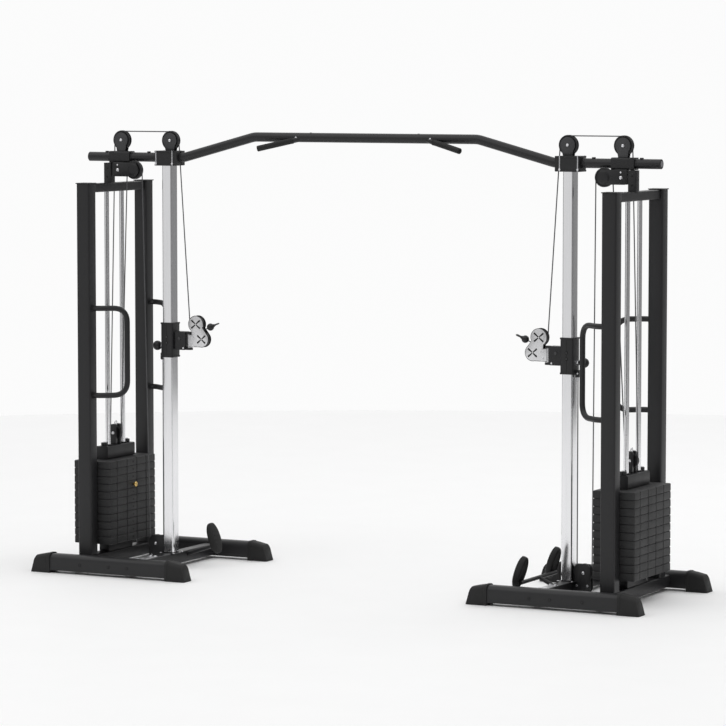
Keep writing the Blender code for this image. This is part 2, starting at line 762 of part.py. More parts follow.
def add_knob(tower):
    """The pull knob and its pin, whose tip stands at the column's face."""
    tip = COLUMN_HALF[0] + 2 * SLIDE_CLEARANCE
    shaft = rod((tip, 0.0, KNOB_Z), (KNOB_X, 0.0, KNOB_Z), LATCH_RADIUS)
    head = ball((KNOB_X, 0.0, KNOB_Z), KNOB_RADIUS)
    add_part(tower, "pull_knob", [head, shaft], origin=(KNOB_X, 0.0, KNOB_Z), material="black_plastic")


def add_swivel_head(tower):
    """Two boot-shaped plates about the swivel pulleys, on a knuckle that turns on the hinge pin."""
    outline = [
        (HINGE_X, HINGE_Z[0] + 0.016),
        (HINGE_X, HINGE_Z[1] - 0.014),
        (HINGE_X - 0.020, HINGE_Z[1] - 0.013),
    ]
    outline += lobe(UPPER_SWIVEL, UPPER_LOBE, -55, 205, 10)
    outline += lobe(LOWER_SWIVEL, LOWER_LOBE, 140, 285, 8)
    outer = CHEEK_Y[1]
    pieces = []
    for low, high in ((-outer, -CHEEK_Y[0]), (CHEEK_Y[0], outer)):
        pieces.append(extruded(outline, "y", low, high))
    low = (HINGE_X - KNUCKLE_REACH, -outer + 0.0002, KNUCKLE_Z[0])
    pieces.append(box(low, (HINGE_X, outer - 0.0002, KNUCKLE_Z[1])))
    ear = EAR_HEIGHT + 2 * GAP
    low = (HINGE_X, 0.0, HINGE_Z[0] + ear)
    pieces.append(rod(low, (HINGE_X, 0.0, HINGE_Z[1] - ear), KNUCKLE_RADIUS))
    pieces += axle(UPPER_SWIVEL) + axle(LOWER_SWIVEL)
    bore_radius = HINGE_PIN_RADIUS + 0.0008
    bore = rod((HINGE_X, 0.0, HINGE_Z[0]), (HINGE_X, 0.0, HINGE_Z[1]), bore_radius)
    origin = (HINGE_X, 0.0, LOWER_SWIVEL[2])
    add_part(tower, "swivel_head", pieces, [bore], origin=origin, material="silver")


def pull_line():
    """Where the cable passes between the swivel pulleys, and the way it is pulled."""
    upper = Vector((UPPER_SWIVEL[0], 0.0, UPPER_SWIVEL[2]))
    lower = Vector((LOWER_SWIVEL[0], 0.0, LOWER_SWIVEL[2]))
    between = (lower - upper).normalized()
    crossing = upper + between * UPPER_SWIVEL[4]
    return crossing, Vector((between.z, 0.0, -between.x))


def add_cable_stop(tower):
    """The ball on the cable's end, its ferrule and the eye that takes a grip."""
    crossing, way = pull_line()
    centre = crossing + way * STOP_DISTANCE
    rings = []
    for row in range(7):
        angle = math.pi * (0.08 + 0.84 * row / 6)
        middle = centre - way * STOP_RADIUS * math.cos(angle)
        rings.append(ring_about(middle, way, STOP_RADIUS * math.sin(angle), 12))
    ferrule = rod(centre + way * 0.010, centre + way * FERRULE_END, 0.0075, 10, 0.006)
    across = Vector((-way.z, 0.0, way.x))
    eye = ring_about(centre + way * EYE_DISTANCE, across, EYE_RADIUS, 12)
    pieces = [lofted(rings), ferrule, swept(eye, EYE_THICKNESS, 5, closed=True)]
    add_part(tower, "cable_stop", pieces, origin=tuple(centre), material="black_plastic")


def tangent_angle(first, second):
    """The direction of the cable from one pulley to the next."""
    across = second[0] - first[0]
    up = second[2] - first[2]
    offset = (first[5] * first[4] - second[5] * second[4]) / math.hypot(across, up)
    return math.atan2(up, across) + math.asin(offset)


def wrapped(spec, arriving, leaving):
    """Points of the cable round a pulley, from the direction it arrives in to the one it leaves in."""
    x, y, z, _, pitch, turn = spec
    start = arriving - turn * math.pi / 2
    sweep = ((leaving - arriving) * turn) % math.tau
    steps = max(4, round(sweep / math.radians(22)))
    points = []
    for step in range(steps + 1):
        angle = start + turn * sweep * step / steps
        points.append(Vector((x + pitch * math.cos(angle), y, z + pitch * math.sin(angle))))
    return points


def cable_route():
    """The whole cable, from the ball stop over and under the pulleys to the carriage's lug."""
    crossing, way = pull_line()
    route = [crossing + way * (STOP_DISTANCE - STOP_RADIUS - 2 * GAP)]
    arriving = math.atan2(-way.z, -way.x)
    wheels = (UPPER_SWIVEL, COLUMN_PULLEY, STACK_PULLEY, BLOCK_PULLEY, RETURN_PULLEY, BASE_PULLEY)
    for spec, after in zip(wheels, wheels[1:]):
        leaving = tangent_angle(spec, after)
        route += wrapped(spec, arriving, leaving)
        arriving = leaving
    route += wrapped(BASE_PULLEY, arriving, math.pi / 2)
    route.append(Vector((BASE_PULLEY[0] - BASE_PULLEY[4], 0.0, LUG_Z[0] - GAP)))
    return route


def add_cable(tower):
    side = SIDES[tower.name.split("_")[0]]
    curve = bpy.data.curves.new(tower.name.replace("tower", "cable"), "CURVE")
    curve.dimensions = "3D"
    curve.bevel_depth = CABLE_RADIUS
    curve.bevel_resolution = 2
    curve.use_fill_caps = True
    route = cable_route()
    spline = curve.splines.new("POLY")
    spline.points.add(len(route) - 1)
    for point, place in zip(spline.points, route):
        point.co = (side * place.x, place.y, place.z, 1.0)
    obj = bpy.data.objects.new(tower.name.replace("tower", "cable"), curve)
    obj.data.materials.append(bpy.data.materials["cable_grey"])
    bpy.context.scene.collection.objects.link(obj)
    obj.parent = tower


def add_pull_up_bar():
    """The raised tube over both towers, with two slanting grips and slots for the cables."""
    low_bend, high_bend = BAR_SLOPE_X
    half = [
        (BAR_END_X, COLUMN_Y, TUBE_Z),
        (low_bend, COLUMN_Y, TUBE_Z),
        (high_bend, COLUMN_Y, BAR_Z),
    ]
    corners = [(-x, y, z) for x, y, z in half] + half[::-1]
    pieces = [swept(eased(corners, BAR_BEND, 3), TUBE_RADIUS, 16)]
    cuts = []
    for side in SIDES.values():
        start = (side * GRIP_START[0], *GRIP_START[1:])
        end = (side * GRIP_END[0], *GRIP_END[1:])
        pieces.append(rod(start, end, GRIP_RADIUS))
        for low, high in (COLUMN_SLOT, STACK_SLOT):
            near, far = sorted((side * (COLUMN_X + low), side * (COLUMN_X + high)))
            bottom = (near, COLUMN_Y - SLOT_HALF, TUBE_Z - 0.05)
            cuts.append(box(bottom, (far, COLUMN_Y + SLOT_HALF, TUBE_Z + 0.05)))
    finish("pull_up_bar", joined(pieces, cuts), "black_steel")


def add_tower(name):
    tower = bpy.data.objects.new(f"{name}_tower", None)
    tower.location = (SIDES[name] * COLUMN_X, COLUMN_Y, 0.0)
    bpy.context.scene.collection.objects.link(tower)
    add_frame(tower)
    add_column(tower)
    add_column_bracket(tower)
    add_tube_clamp(tower)
    add_guide_rods(tower)
    add_stack(tower)
    add_carriage(tower)
    add_knob(tower)
    add_swivel_head(tower)
    add_cable_stop(tower)
    add_pulley(tower, "upper_swivel_pulley", UPPER_SWIVEL)
    add_pulley(tower, "lower_swivel_pulley", LOWER_SWIVEL)
    add_pulley(tower, "column_pulley", COLUMN_PULLEY)
    add_pulley(tower, "stack_pulley", STACK_PULLEY)
    add_pulley(tower, "block_pulley", BLOCK_PULLEY)
    add_pulley(tower, "return_pulley", RETURN_PULLEY)
    add_pulley(tower, "base_pulley", BASE_PULLEY)
    add_cable(tower)


def main():
    clear_scene()
    for name in MATERIALS:
        make_material(name)
    add_tower("left")
    add_tower("right")
    add_pull_up_bar()


main()
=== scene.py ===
"""Looks of the cable crossover machine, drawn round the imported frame.

Metres, in the frame's coordinates. A tower's pieces are drawn in its own coordinates, X outward from its
column's centre line. The left tower is the mirror image of the right one, apart from its foot pads.
"""

import math
from itertools import product

import bmesh
import bpy
from mathutils import Matrix, Vector


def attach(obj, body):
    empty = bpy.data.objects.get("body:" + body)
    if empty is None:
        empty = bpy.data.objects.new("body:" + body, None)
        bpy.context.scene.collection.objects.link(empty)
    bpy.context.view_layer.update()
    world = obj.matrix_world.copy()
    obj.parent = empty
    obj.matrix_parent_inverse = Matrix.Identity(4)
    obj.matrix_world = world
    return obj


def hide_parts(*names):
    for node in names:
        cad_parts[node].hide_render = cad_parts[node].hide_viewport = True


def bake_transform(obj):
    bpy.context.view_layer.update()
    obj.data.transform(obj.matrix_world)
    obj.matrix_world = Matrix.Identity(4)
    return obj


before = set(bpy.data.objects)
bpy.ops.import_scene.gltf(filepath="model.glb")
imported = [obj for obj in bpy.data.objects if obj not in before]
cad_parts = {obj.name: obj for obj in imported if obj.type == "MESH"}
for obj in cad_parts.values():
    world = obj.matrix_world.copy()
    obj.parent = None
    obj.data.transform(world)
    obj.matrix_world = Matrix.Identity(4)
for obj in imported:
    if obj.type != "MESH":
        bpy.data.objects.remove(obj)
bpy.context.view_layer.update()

SIDES = {"left": -1, "right": 1}
UP = (0, 0, 1)
# How far edges are rounded, and the gap between pieces that meet.
EDGE = 0.0009
FINE_EDGE = 0.0008
GAP = 0.0003
COLUMN_X = 1.130
COLUMN_Y = -0.010

# Camera.
CAMERA_PLACE = (8.2736, -16.1848, 2.6271)
CAMERA_YAW = 27.113
CAMERA_PITCH = 4.771
CAMERA_LENS = 179.22
SENSOR_WIDTH = 36.0

# Pulleys, as (X, Y, Z, outer radius, pitch radius, turn of the cable seen from the front).
UPPER_SWIVEL = (-0.160, 0.0, 1.275, 0.0415, 0.0425, 1)
LOWER_SWIVEL = (-0.193, 0.0, 1.198, 0.0385, 0.0413, 1)
COLUMN_PULLEY = (-0.010, 0.0, 2.220, 0.050, 0.0455, -1)
STACK_PULLEY = (0.282, 0.0, 2.220, 0.050, 0.0455, -1)
BLOCK_PULLEY = (0.332, 0.0, 0.690, 0.036, 0.033, -1)
RETURN_PULLEY = (0.192, -0.030, 2.066, 0.047, 0.0445, 1)
BASE_PULLEY = (0.085, 0.0, 0.123, 0.045, 0.040, -1)
PULLEYS = {
    "upper_swivel_pulley": UPPER_SWIVEL,
    "lower_swivel_pulley": LOWER_SWIVEL,
    "column_pulley": COLUMN_PULLEY,
    "stack_pulley": STACK_PULLEY,
    "block_pulley": BLOCK_PULLEY,
    "return_pulley": RETURN_PULLEY,
    "base_pulley": BASE_PULLEY,
}
CABLE_RADIUS = 0.003
LUG_BOTTOM = 1.085
STOP_DISTANCE = 0.068
STOP_RADIUS = 0.019
AXLE_RADIUS = 0.0058
WHEEL_HALF = 0.010
CHEEK_FACE = 0.0165
CHEEK_PLATES = ((-CHEEK_FACE, -0.0125), (0.0125, CHEEK_FACE))
CHEEK_RADIUS = 0.0395
CHEEK_NECK_HALF = 0.024

# Frame.
BEAM_X = (-0.343, 0.570)
BEAM_YS = {"front": -0.425, "rear": 0.445}
BEAM_HALF = 0.0375
BEAM_Z = (0.014, 0.098)
BEAM_IN_FOOT = 0.090
RAIL_HALF = 0.030
RAIL_Z = (0.018, 0.078)
SIDE_TUBE_X = (0.300, 0.370)
SIDE_TUBE_Z = (0.018, 0.080)
BASE_CHEEK = ((0.015, 0.025), (0.112, 0.025), (0.124, 0.045), (0.124, 0.145), (0.108, 0.165),
              (0.046, 0.165), (0.034, 0.150), (0.034, 0.0775), (0.015, 0.0775))
UPRIGHT_X = 0.337
UPRIGHT_YS = {"front": -0.275, "rear": 0.305}
UPRIGHT_HALF = (0.038, 0.036)
UPRIGHT_Z = (0.0803, 2.000)
CAP_HALF = 0.041
CROSSBAR_HALF = 0.025
CROSSBAR_Z = (1.954, 1.9995)
HANDLE_YS = {"front": -0.185, "rear": 0.220}
HANDLE_X = 0.149
HANDLE_Z = (0.910, 1.360)
HANDLE_RADIUS = 0.014
HANDLE_BEND = 0.075
HANDLE_NECK = 0.035
COLUMN_HALF = (0.028, 0.033)
COLUMN_Z = (0.0783, 2.0907)
PAD_Z = 0.150
PAD_ARM_Z = 0.055
PAD_BAR_RADIUS = 0.010
BRACKET_HALF = 0.0425
BRACKET_Z = (2.0915, 2.1675)
CLAMP_HALF = 0.030
# The clamp's two ends, with the start of the cable's slot between them.
CLAMP_X = (0.2250, 0.3195, 0.3460)
SLOT_HALF = 0.0065

# Pull-up bar.
TUBE_RADIUS = 0.024
TUBE_END_X = 1.606
TUBE_Z = 2.133
RISE_START_X = 1.045
RISE_END_X = 0.630
BAR_Z = 2.243
GRIP_ROOT = (0.330, -0.010, BAR_Z)
GRIP_TIP = (0.570, -0.090, 2.185)
CABLE_SLOT_XS = (1.0685, 1.4597)

# Weight stack.
ROD_X = 0.335
ROD_Y = 0.075
ROD_RADIUS = 0.0125
PLATE_LOW = (0.2275, -0.232)
PLATE_HIGH = (0.4470, 0.228)
PLATE_HEIGHT = 0.0393
PLATE_GROOVES = (-0.163, -0.062, 0.037, 0.131)
PLATE_COUNT = 11
RESTING_COUNT = 7
STACK_Z = 0.130
PIN_Z = STACK_Z + (RESTING_COUNT + 0.5) * PLATE_HEIGHT
FORK_HALF = 0.030

# Carriage.
CARRIAGE_HALF = (0.0350, 0.0400)
CARRIAGE_Z = (1.1015, 1.2785)
COLLAR_PROUD = 0.0022
SLEEVE_PLAY = 0.0007
HINGE_X = -0.1175
HINGE_HALF = 0.022
KNOB_PLACE = (0.077, 0.0, 1.157)
KNOB_RADIUS = 0.0249
KNOB_NECK = 0.031

# Studio. A zone of the world's light is its direction, the cosines to that direction where it starts and
# where it is full, and its strength there.
FLOOR_RADIUS = 9.0
FLOOR_SIDES = 96
SHADE_LEVEL = 0.26
ZONES = (
    ((-0.463, 0.886, 0.0), 0.72, 0.84, 0.97),
    ((-0.463, -0.886, 0.0), 0.88, 0.96, 0.74),
    ((0.0, 0.0, 1.0), 0.25, 0.70, 1.15),
)


# Shapes: each returns its points and its faces.


def loft(rings, closed=False):
    points = [tuple(point) for ring in rings for point in ring]
    size = len(rings[0])
    faces = []
    for row in range(len(rings) if closed else len(rings) - 1):
        lower = row * size
        upper = (row + 1) % len(rings) * size
        for index in range(size):
            after = (index + 1) % size
            faces.append((lower + index, lower + after, upper + after, upper + index))
    if not closed:
        faces.append(tuple(range(size))[::-1])
        faces.append(tuple(range((len(rings) - 1) * size, len(rings) * size)))
    return points, faces


def rectangle(low, high, corner=0.0, steps=4):
    if corner == 0.0:
        return [(low[0], low[1]), (high[0], low[1]), (high[0], high[1]), (low[0], high[1])]
    outline = []
    centres = (
        (high[0] - corner, high[1] - corner),
        (low[0] + corner, high[1] - corner),
        (low[0] + corner, low[1] + corner),
        (high[0] - corner, low[1] + corner),
    )
    for quarter, (across, up) in enumerate(centres):
        for step in range(steps + 1):
            angle = math.radians(90) * (quarter + step / steps)
            outline.append((across + corner * math.cos(angle), up + corner * math.sin(angle)))
    return outline


def extrude(outline, axis, low, high, inset=0.0):
    """An outline drawn out along an axis; the inset rounds its two rims a little."""
    middle_a = sum(pair[0] for pair in outline) / len(outline)
    middle_b = sum(pair[1] for pair in outline) / len(outline)
    levels = [(low, 0.0), (high, 0.0)]
    if inset:
        levels = [(low, inset), (low + inset * 0.3, inset * 0.3), (low + inset, 0.0)]
        levels += [(high - inset, 0.0), (high - inset * 0.3, inset * 0.3), (high, inset)]
    rings = []
    for height, shrink in levels:
        ring = []
        for first, second in outline:
            offset = Vector((first - middle_a, second - middle_b))
            scale = max(0.0, 1.0 - shrink / max(offset.length, 1e-6))
            a = middle_a + offset.x * scale
            b = middle_b + offset.y * scale
            ring.append({"x": (height, a, b), "y": (a, height, b), "z": (a, b, height)}[axis])
        rings.append(ring)
    return loft(rings)


def box(low, high, axis="z", corner=0.0, steps=4, inset=0.0):
    across = [index for index, letter in enumerate("xyz") if letter != axis]
    along = "xyz".index(axis)
    first = [low[index] for index in across]
    second = [high[index] for index in across]
    return extrude(rectangle(first, second, corner, steps), axis, low[along], high[along], inset)


def ring_about(centre, direction, radius, steps):
    turn = Vector(direction).to_track_quat("Z", "Y")
    points = []
    for step in range(steps):
        angle = math.tau * step / steps
        spoke = Vector((radius * math.cos(angle), radius * math.sin(angle), 0.0))
        points.append(Vector(centre) + turn @ spoke)
    return points


def turned(start, direction, profile, steps=40):
    """A round solid from (distance along the direction, radius) pairs."""
    way = Vector(direction).normalized()
    return loft([ring_about(Vector(start) + way * height, way, radius, steps) for height, radius in profile])


def rod(start, end, radius, steps=32, edge=0.0):
    length = (Vector(end) - Vector(start)).length
    profile = [(0.0, radius), (length, radius)]
    if edge:
        profile = [(0.0, radius - edge), (edge, radius), (length - edge, radius), (length, radius - edge)]
    return turned(start, Vector(end) - Vector(start), profile, steps)


def ball(centre, radius, steps=32, rows=16, squash=1.0):
    profile = []
    for row in range(rows + 1):
        angle = math.pi * (0.02 + 0.96 * row / rows)
        profile.append((-radius * squash * math.cos(angle), radius * math.sin(angle)))
    return turned(centre, UP, profile, steps)


def eased(corners, bend, steps=8):
    route = [Vector(corners[0])]
    for before, corner, after in zip(corners, corners[1:], corners[2:]):
        corner = Vector(corner)
        enter = corner + (Vector(before) - corner).normalized() * bend
        leave = corner + (Vector(after) - corner).normalized() * bend
        for step in range(steps + 1):
            part = step / steps
            route.append(enter.lerp(corner, part).lerp(corner.lerp(leave, part), part))
    route.append(Vector(corners[-1]))
    return route


def swept(route, radius, steps=24, closed=False):
    count = len(route)
    tangents = []
    for index in range(count):
        before = route[index - 1] if closed or index else route[0]
        after = route[(index + 1) % count] if closed or index < count - 1 else route[-1]
        tangents.append((after - before).normalized())
    side = tangents[0].orthogonal().normalized()
    rings = []
    for index in range(count):
        if index:
            side = tangents[index - 1].rotation_difference(tangents[index]) @ side
        other = tangents[index].cross(side)
        ring = []
        for step in range(steps):
            angle = math.tau * step / steps
            ring.append(route[index] + radius * (math.cos(angle) * side + math.sin(angle) * other))
        rings.append(ring)
    return loft(rings, closed)


def torus(centre, direction, radius, thickness, steps=40, round_steps=12):
    return swept(ring_about(centre, direction, radius, steps), thickness, round_steps, closed=True)


def washer(centre, direction, inner, outer, height, steps=40):
    """A flat ring, from the centre along the direction."""
    way = Vector(direction).normalized()
    corners = ((inner, 0.0), (outer, 0.0), (outer, height), (inner, height))
    turn = way.to_track_quat("Z", "Y")
    rings = []
    for step in range(steps):
        angle = math.tau * step / steps
        ring = []
        for radius, up in corners:
            corner = Vector((radius * math.cos(angle), radius * math.sin(angle), up))
            ring.append(Vector(centre) + turn @ corner)
        rings.append(ring)
    return loft(rings, closed=True)


def bolt(place, direction, radius=0.009, height=0.006, domed=False):
    """A bolt head that stands on a face: hexagonal with a chamfer, or domed."""
    if domed:
        profile = [(0.0, radius)]
        profile += [(height * math.sin(a), radius * math.cos(a)) for a in (0.3, 0.6, 0.9, 1.2, 1.45)]
        return turned(place, direction, profile, 24)
    profile = [(0.0, radius), (height * 0.8, radius), (height, radius * 0.84)]
    return turned(place, direction, profile, 6)


# Materials.


def surface(name, colour, roughness, metallic, grain, speckle, wear, coat=0.0):
    """A shader with fine bump, mottled colour and uneven gloss, all from noise in the object's space.

    The grain is the fine noise's scale, the strength of its bump, and its stretch along each axis.
    """
    material = bpy.data.materials.new(name)
    material.use_nodes = True
    nodes = material.node_tree.nodes
    links = material.node_tree.links
    shader = nodes["Principled BSDF"]
    shader.inputs["Metallic"].default_value = metallic
    shader.inputs["Specular IOR Level"].default_value = 0.5 if metallic > 0.5 else 0.36
    shader.inputs["Coat Weight"].default_value = coat
    shader.inputs["Coat Roughness"].default_value = 0.15
    place = nodes.new("ShaderNodeTexCoord")
    scale, depth, stretch = grain
    mapping = nodes.new("ShaderNodeMapping")
    mapping.inputs["Scale"].default_value = stretch
    links.new(place.outputs["Object"], mapping.inputs["Vector"])
    fine = nodes.new("ShaderNodeTexNoise")
    fine.inputs["Scale"].default_value = scale
    fine.inputs["Detail"].default_value = 6.0
    links.new(mapping.outputs["Vector"], fine.inputs["Vector"])
    broad = nodes.new("ShaderNodeTexNoise")
    broad.inputs["Scale"].default_value = 9.0
    broad.inputs["Detail"].default_value = 4.0
    links.new(place.outputs["Object"], broad.inputs["Vector"])
    mix = nodes.new("ShaderNodeMix")
    mix.data_type = "RGBA"
    darker = [channel * (1.0 - speckle) for channel in colour]
    lighter = [min(1.0, channel * (1.0 + 1.6 * speckle) + 0.012 * speckle) for channel in colour]
    mix.inputs["A"].default_value = (*darker, 1.0)
    mix.inputs["B"].default_value = (*lighter, 1.0)
    links.new(fine.outputs["Fac"], mix.inputs["Factor"])
    links.new(mix.outputs["Result"], shader.inputs["Base Color"])
    gloss = nodes.new("ShaderNodeMapRange")
    gloss.inputs["To Min"].default_value = max(0.02, roughness - wear)
    gloss.inputs["To Max"].default_value = min(1.0, roughness + wear)
    links.new(broad.outputs["Fac"], gloss.inputs["Value"])
    links.new(gloss.outputs["Result"], shader.inputs["Roughness"])
    bump = nodes.new("ShaderNodeBump")
    bump.inputs["Strength"].default_value = depth
    bump.inputs["Distance"].default_value = 0.0004
    links.new(fine.outputs["Fac"], bump.inputs["Height"])
    links.new(bump.outputs["Normal"], shader.inputs["Normal"])
    return material


# How the grain is stretched along X, Y and Z.
EVEN = (1.0, 1.0, 1.0)
BRUSHED = (1.0, 1.0, 0.10)
DRAWN = (1.0, 1.0, 0.02)
BRAIDED = (1.0, 1.0, 0.35)
LOOKS = {
    "powder": surface(
        "powder_black", (0.011, 0.011, 0.012), 0.42, 0.0, (900.0, 0.35, EVEN), 0.35, 0.07, 0.05),
    "chrome": surface(
        "polished_chrome", (0.82, 0.82, 0.835), 0.16, 1.0, (160.0, 0.04, DRAWN), 0.04, 0.03),
    "zinc": surface(
        "zinc_bolt", (0.72, 0.72, 0.74), 0.28, 1.0, (700.0, 0.15, EVEN), 0.12, 0.08),
    "silver": surface(
        "silver_plate", (0.66, 0.66, 0.67), 0.34, 0.85, (500.0, 0.12, BRUSHED), 0.08, 0.06),
    "nylon": surface(
        "black_nylon", (0.008, 0.008, 0.009), 0.42, 0.0, (420.0, 0.15, EVEN), 0.30, 0.08, 0.10),
    "rubber": surface(
        "foot_rubber", (0.009, 0.009, 0.009), 0.66, 0.0, (650.0, 0.45, EVEN), 0.40, 0.10),
    "plate": surface(
        "plate_shell", (0.015, 0.015, 0.0155), 0.56, 0.0, (320.0, 0.90, EVEN), 0.70, 0.14),
    "cheek": surface(
        "grey_cheek", (0.045, 0.045, 0.047), 0.42, 0.2, (800.0, 0.25, EVEN), 0.30, 0.08, 0.10),
    # Near black: where it fills holes and slots it is painted shade, not a part's own colour.
    "dark": surface(
        "black_and_painted_shade", (0.006, 0.006, 0.006), 0.70, 0.0, (400.0, 0.20, EVEN), 0.30, 0.05),
    "brass": surface(
        "polished_brass", (0.78, 0.55, 0.20), 0.22, 1.0, (500.0, 0.08, EVEN), 0.10, 0.06),
    "cable": surface(
        "coated_cable", (0.075, 0.075, 0.078), 0.40, 0.1, (900.0, 0.40, BRAIDED), 0.45, 0.08, 0.2),
    "label": surface(
        "end_disc", (0.22, 0.22, 0.23), 0.45, 0.3, (500.0, 0.10, EVEN), 0.10, 0.05),
}


# Pieces.


def build(name, shapes, body, nodes=(), side=None, bevel=0.0):
    """One piece from (look, shape) pairs, riding on a body and standing for the CAD nodes named."""
    mesh = bpy.data.meshes.new(name)
    looks = list(dict.fromkeys(look for look, _ in shapes))
    points = []
    faces = []
    indices = []
    for look, (shape_points, shape_faces) in shapes:
        start = len(points)
        points += shape_points
        faces += [tuple(start + index for index in face) for face in shape_faces]
        indices += [looks.index(look)] * len(shape_faces)
    mesh.from_pydata(points, [], faces)
    for look in looks:
        mesh.materials.append(LOOKS[look])
    mesh.polygons.foreach_set("material_index", indices)
    if side is not None:
        mesh.transform(Matrix.Scale(side, 4, (1, 0, 0)))
        mesh.transform(Matrix.Translation((side * COLUMN_X, COLUMN_Y, 0.0)))
    shape = bmesh.new()
    shape.from_mesh(mesh)
    bmesh.ops.recalc_face_normals(shape, faces=shape.faces)
    shape.to_mesh(mesh)
    shape.free()
    mesh.shade_smooth()
    mesh.set_sharp_from_angle(angle=math.radians(34))
    obj = bpy.data.objects.new(name, mesh)
    bpy.context.scene.collection.objects.link(obj)
    if bevel:
        edge = obj.modifiers.new("edge", "BEVEL")
        edge.width = bevel
        edge.segments = 2
        edge.limit_method = "ANGLE"
        edge.angle_limit = math.radians(40)
        edge.harden_normals = True
    if isinstance(body, str):
        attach(obj, body)
    else:
        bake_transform(obj)
    if nodes:
        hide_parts(*nodes)


def beam_outline(y, half, bottom, top, shoulder):
    """A floor beam's cross-section: a flat bottom, upright sides and round shoulders."""
    outline = [(y - half, bottom), (y + half, bottom)]
    for centre, start in ((y + half - shoulder, 0), (y - half + shoulder, 90)):
        for step in range(9):
            angle = math.radians(start + 11.25 * step)
            outline.append((centre + shoulder * math.cos(angle), top - shoulder + shoulder * math.sin(angle)))
    return outline


def foot(y, tip, way):
    """A rubber end cap: a flared skirt at the floor, a lip at its mouth and a nose that slopes back.

    A section is its distance from the tip, half width, bottom, top, and how far its top slopes back.
    """
    sections = (
        (0.0000, 0.0360, 0.000, 0.078, 0.022),
        (0.0025, 0.0385, 0.000, 0.083, 0.022),
        (0.0100, 0.0395, 0.000, 0.087, 0.018),
        (0.0600, 0.0402, 0.000, 0.0950, 0.006),
        (0.0985, 0.0408, 0.000, 0.1005, 0.000),
        (0.1000, 0.0423, 0.000, 0.1026, 0.000),
        (0.1140, 0.0423, 0.000, 0.1026, 0.000),
        (0.1150, 0.0408, 0.002, 0.1008, 0.000),
    )
    rings = []
    for along, half, bottom, top, slope in sections:
        ring = []
        for a, b in beam_outline(y, half, bottom, top, 0.024):
            ring.append((tip + way * (along + slope * b / top), a, b))
        rings.append(ring)
    near, far = sorted((tip + way * 0.0005, tip + way * 0.108))
    skirt = rectangle((near, y - 0.0425), (far, y + 0.0425), 0.010)
    return [("rubber", loft(rings)), ("rubber", extrude(skirt, "z", 0.0, 0.009, 0.0025))]


def draw_beam(label, side, name):
    y = BEAM_YS[name]
    left, right = BEAM_X
    rings = []
    for x in (left + BEAM_IN_FOOT, right - BEAM_IN_FOOT):
        rings.append([(x, a, b) for a, b in beam_outline(y, BEAM_HALF, *BEAM_Z, 0.029)])
    shapes = [("powder", loft(rings))] + foot(y, left, 1) + foot(y, right, -1)
    out = -1 if name == "front" else 1
    for x in (-0.005, 0.105, 0.275):
        face = y + out * BEAM_HALF
        shapes.append(("dark", washer((x, face, 0.050), (0, out, 0), 0.0052, 0.0085, 0.0010)))
        shapes.append(("nylon", bolt((x, face, 0.050), (0, out, 0), 0.0056, 0.0024, True)))
    build(f"{label}_{name}_floor_beam", shapes, "frame", [f"{label}_{name}_beam"], side)


def paddle(x, y, z):
    """An oval pad on edge with a raised rim and cross grooves, leaning back toward the tower."""
    lean = Matrix.Rotation(math.radians(18), 3, "Y")
    rings = []
    levels = ((-0.018, 0.76), (-0.017, 0.86), (-0.012, 0.98), (-0.004, 1.0), (0.006, 1.0), (0.013, 0.97),
              (0.0165, 0.90), (0.018, 0.82), (0.0145, 0.76))
    for thickness, shrink in levels:
        ring = []
        for step in range(40):
            angle = math.tau * step / 40
            point = Vector((thickness, 0.043 * shrink * math.cos(angle), 0.082 * shrink * math.sin(angle)))
            ring.append(Vector((x, y, z)) + lean @ point)
        rings.append(ring)
    shapes = [("rubber", loft(rings))]
    for up in (-0.036, -0.012, 0.012, 0.036):
        start = Vector((x, y, z)) + lean @ Vector((-0.0185, -0.022, up))
        end = Vector((x, y, z)) + lean @ Vector((-0.0185, 0.022, up))
        shapes.append(("rubber", rod(start, end, 0.0022, 10)))
    return shapes


def axle(spec, reach):
    x, y, z = spec[:3]
    return "zinc", rod((x, y - reach, z), (x, y + reach, z), AXLE_RADIUS, 20)


def axle_bolts(spec):
    """A domed bolt head on a washer, on each side of a pulley's cheeks."""
    x, y, z = spec[:3]
    radius = 0.011
    shapes = [axle(spec, CHEEK_FACE)]
    for way in (-1, 1):
        face = y + way * CHEEK_FACE
        seat = y + way * (CHEEK_FACE + 0.0012)
        shapes.append(("cheek", rod((x, face, z), (x, seat, z), radius, 32)))
        shapes.append(("zinc", bolt((x, seat, z), (0, way, 0), radius * 0.76, 0.0048, True)))
    return shapes


def foot_pads(side):
    """One pad on an arm on the left tower, two on a bar across an arm on the right one."""
    if side < 0:
        arm = rod((-0.185, 0.120, 0.110), (-0.020, 0.120, PAD_ARM_Z), PAD_BAR_RADIUS)
        return paddle(-0.190, 0.120, PAD_Z) + [("powder", arm)]
    shapes = paddle(-0.125, -0.300, PAD_Z) + paddle(-0.125, 0.090, PAD_Z)
    bar = rod((-0.115, -0.315, 0.100), (-0.115, 0.105, 0.100), PAD_BAR_RADIUS, edge=0.001)
    arm = rod((-0.115, -0.100, 0.100), (-0.020, -0.100, PAD_ARM_Z), PAD_BAR_RADIUS)
    return shapes + [("powder", bar), ("powder", arm)]


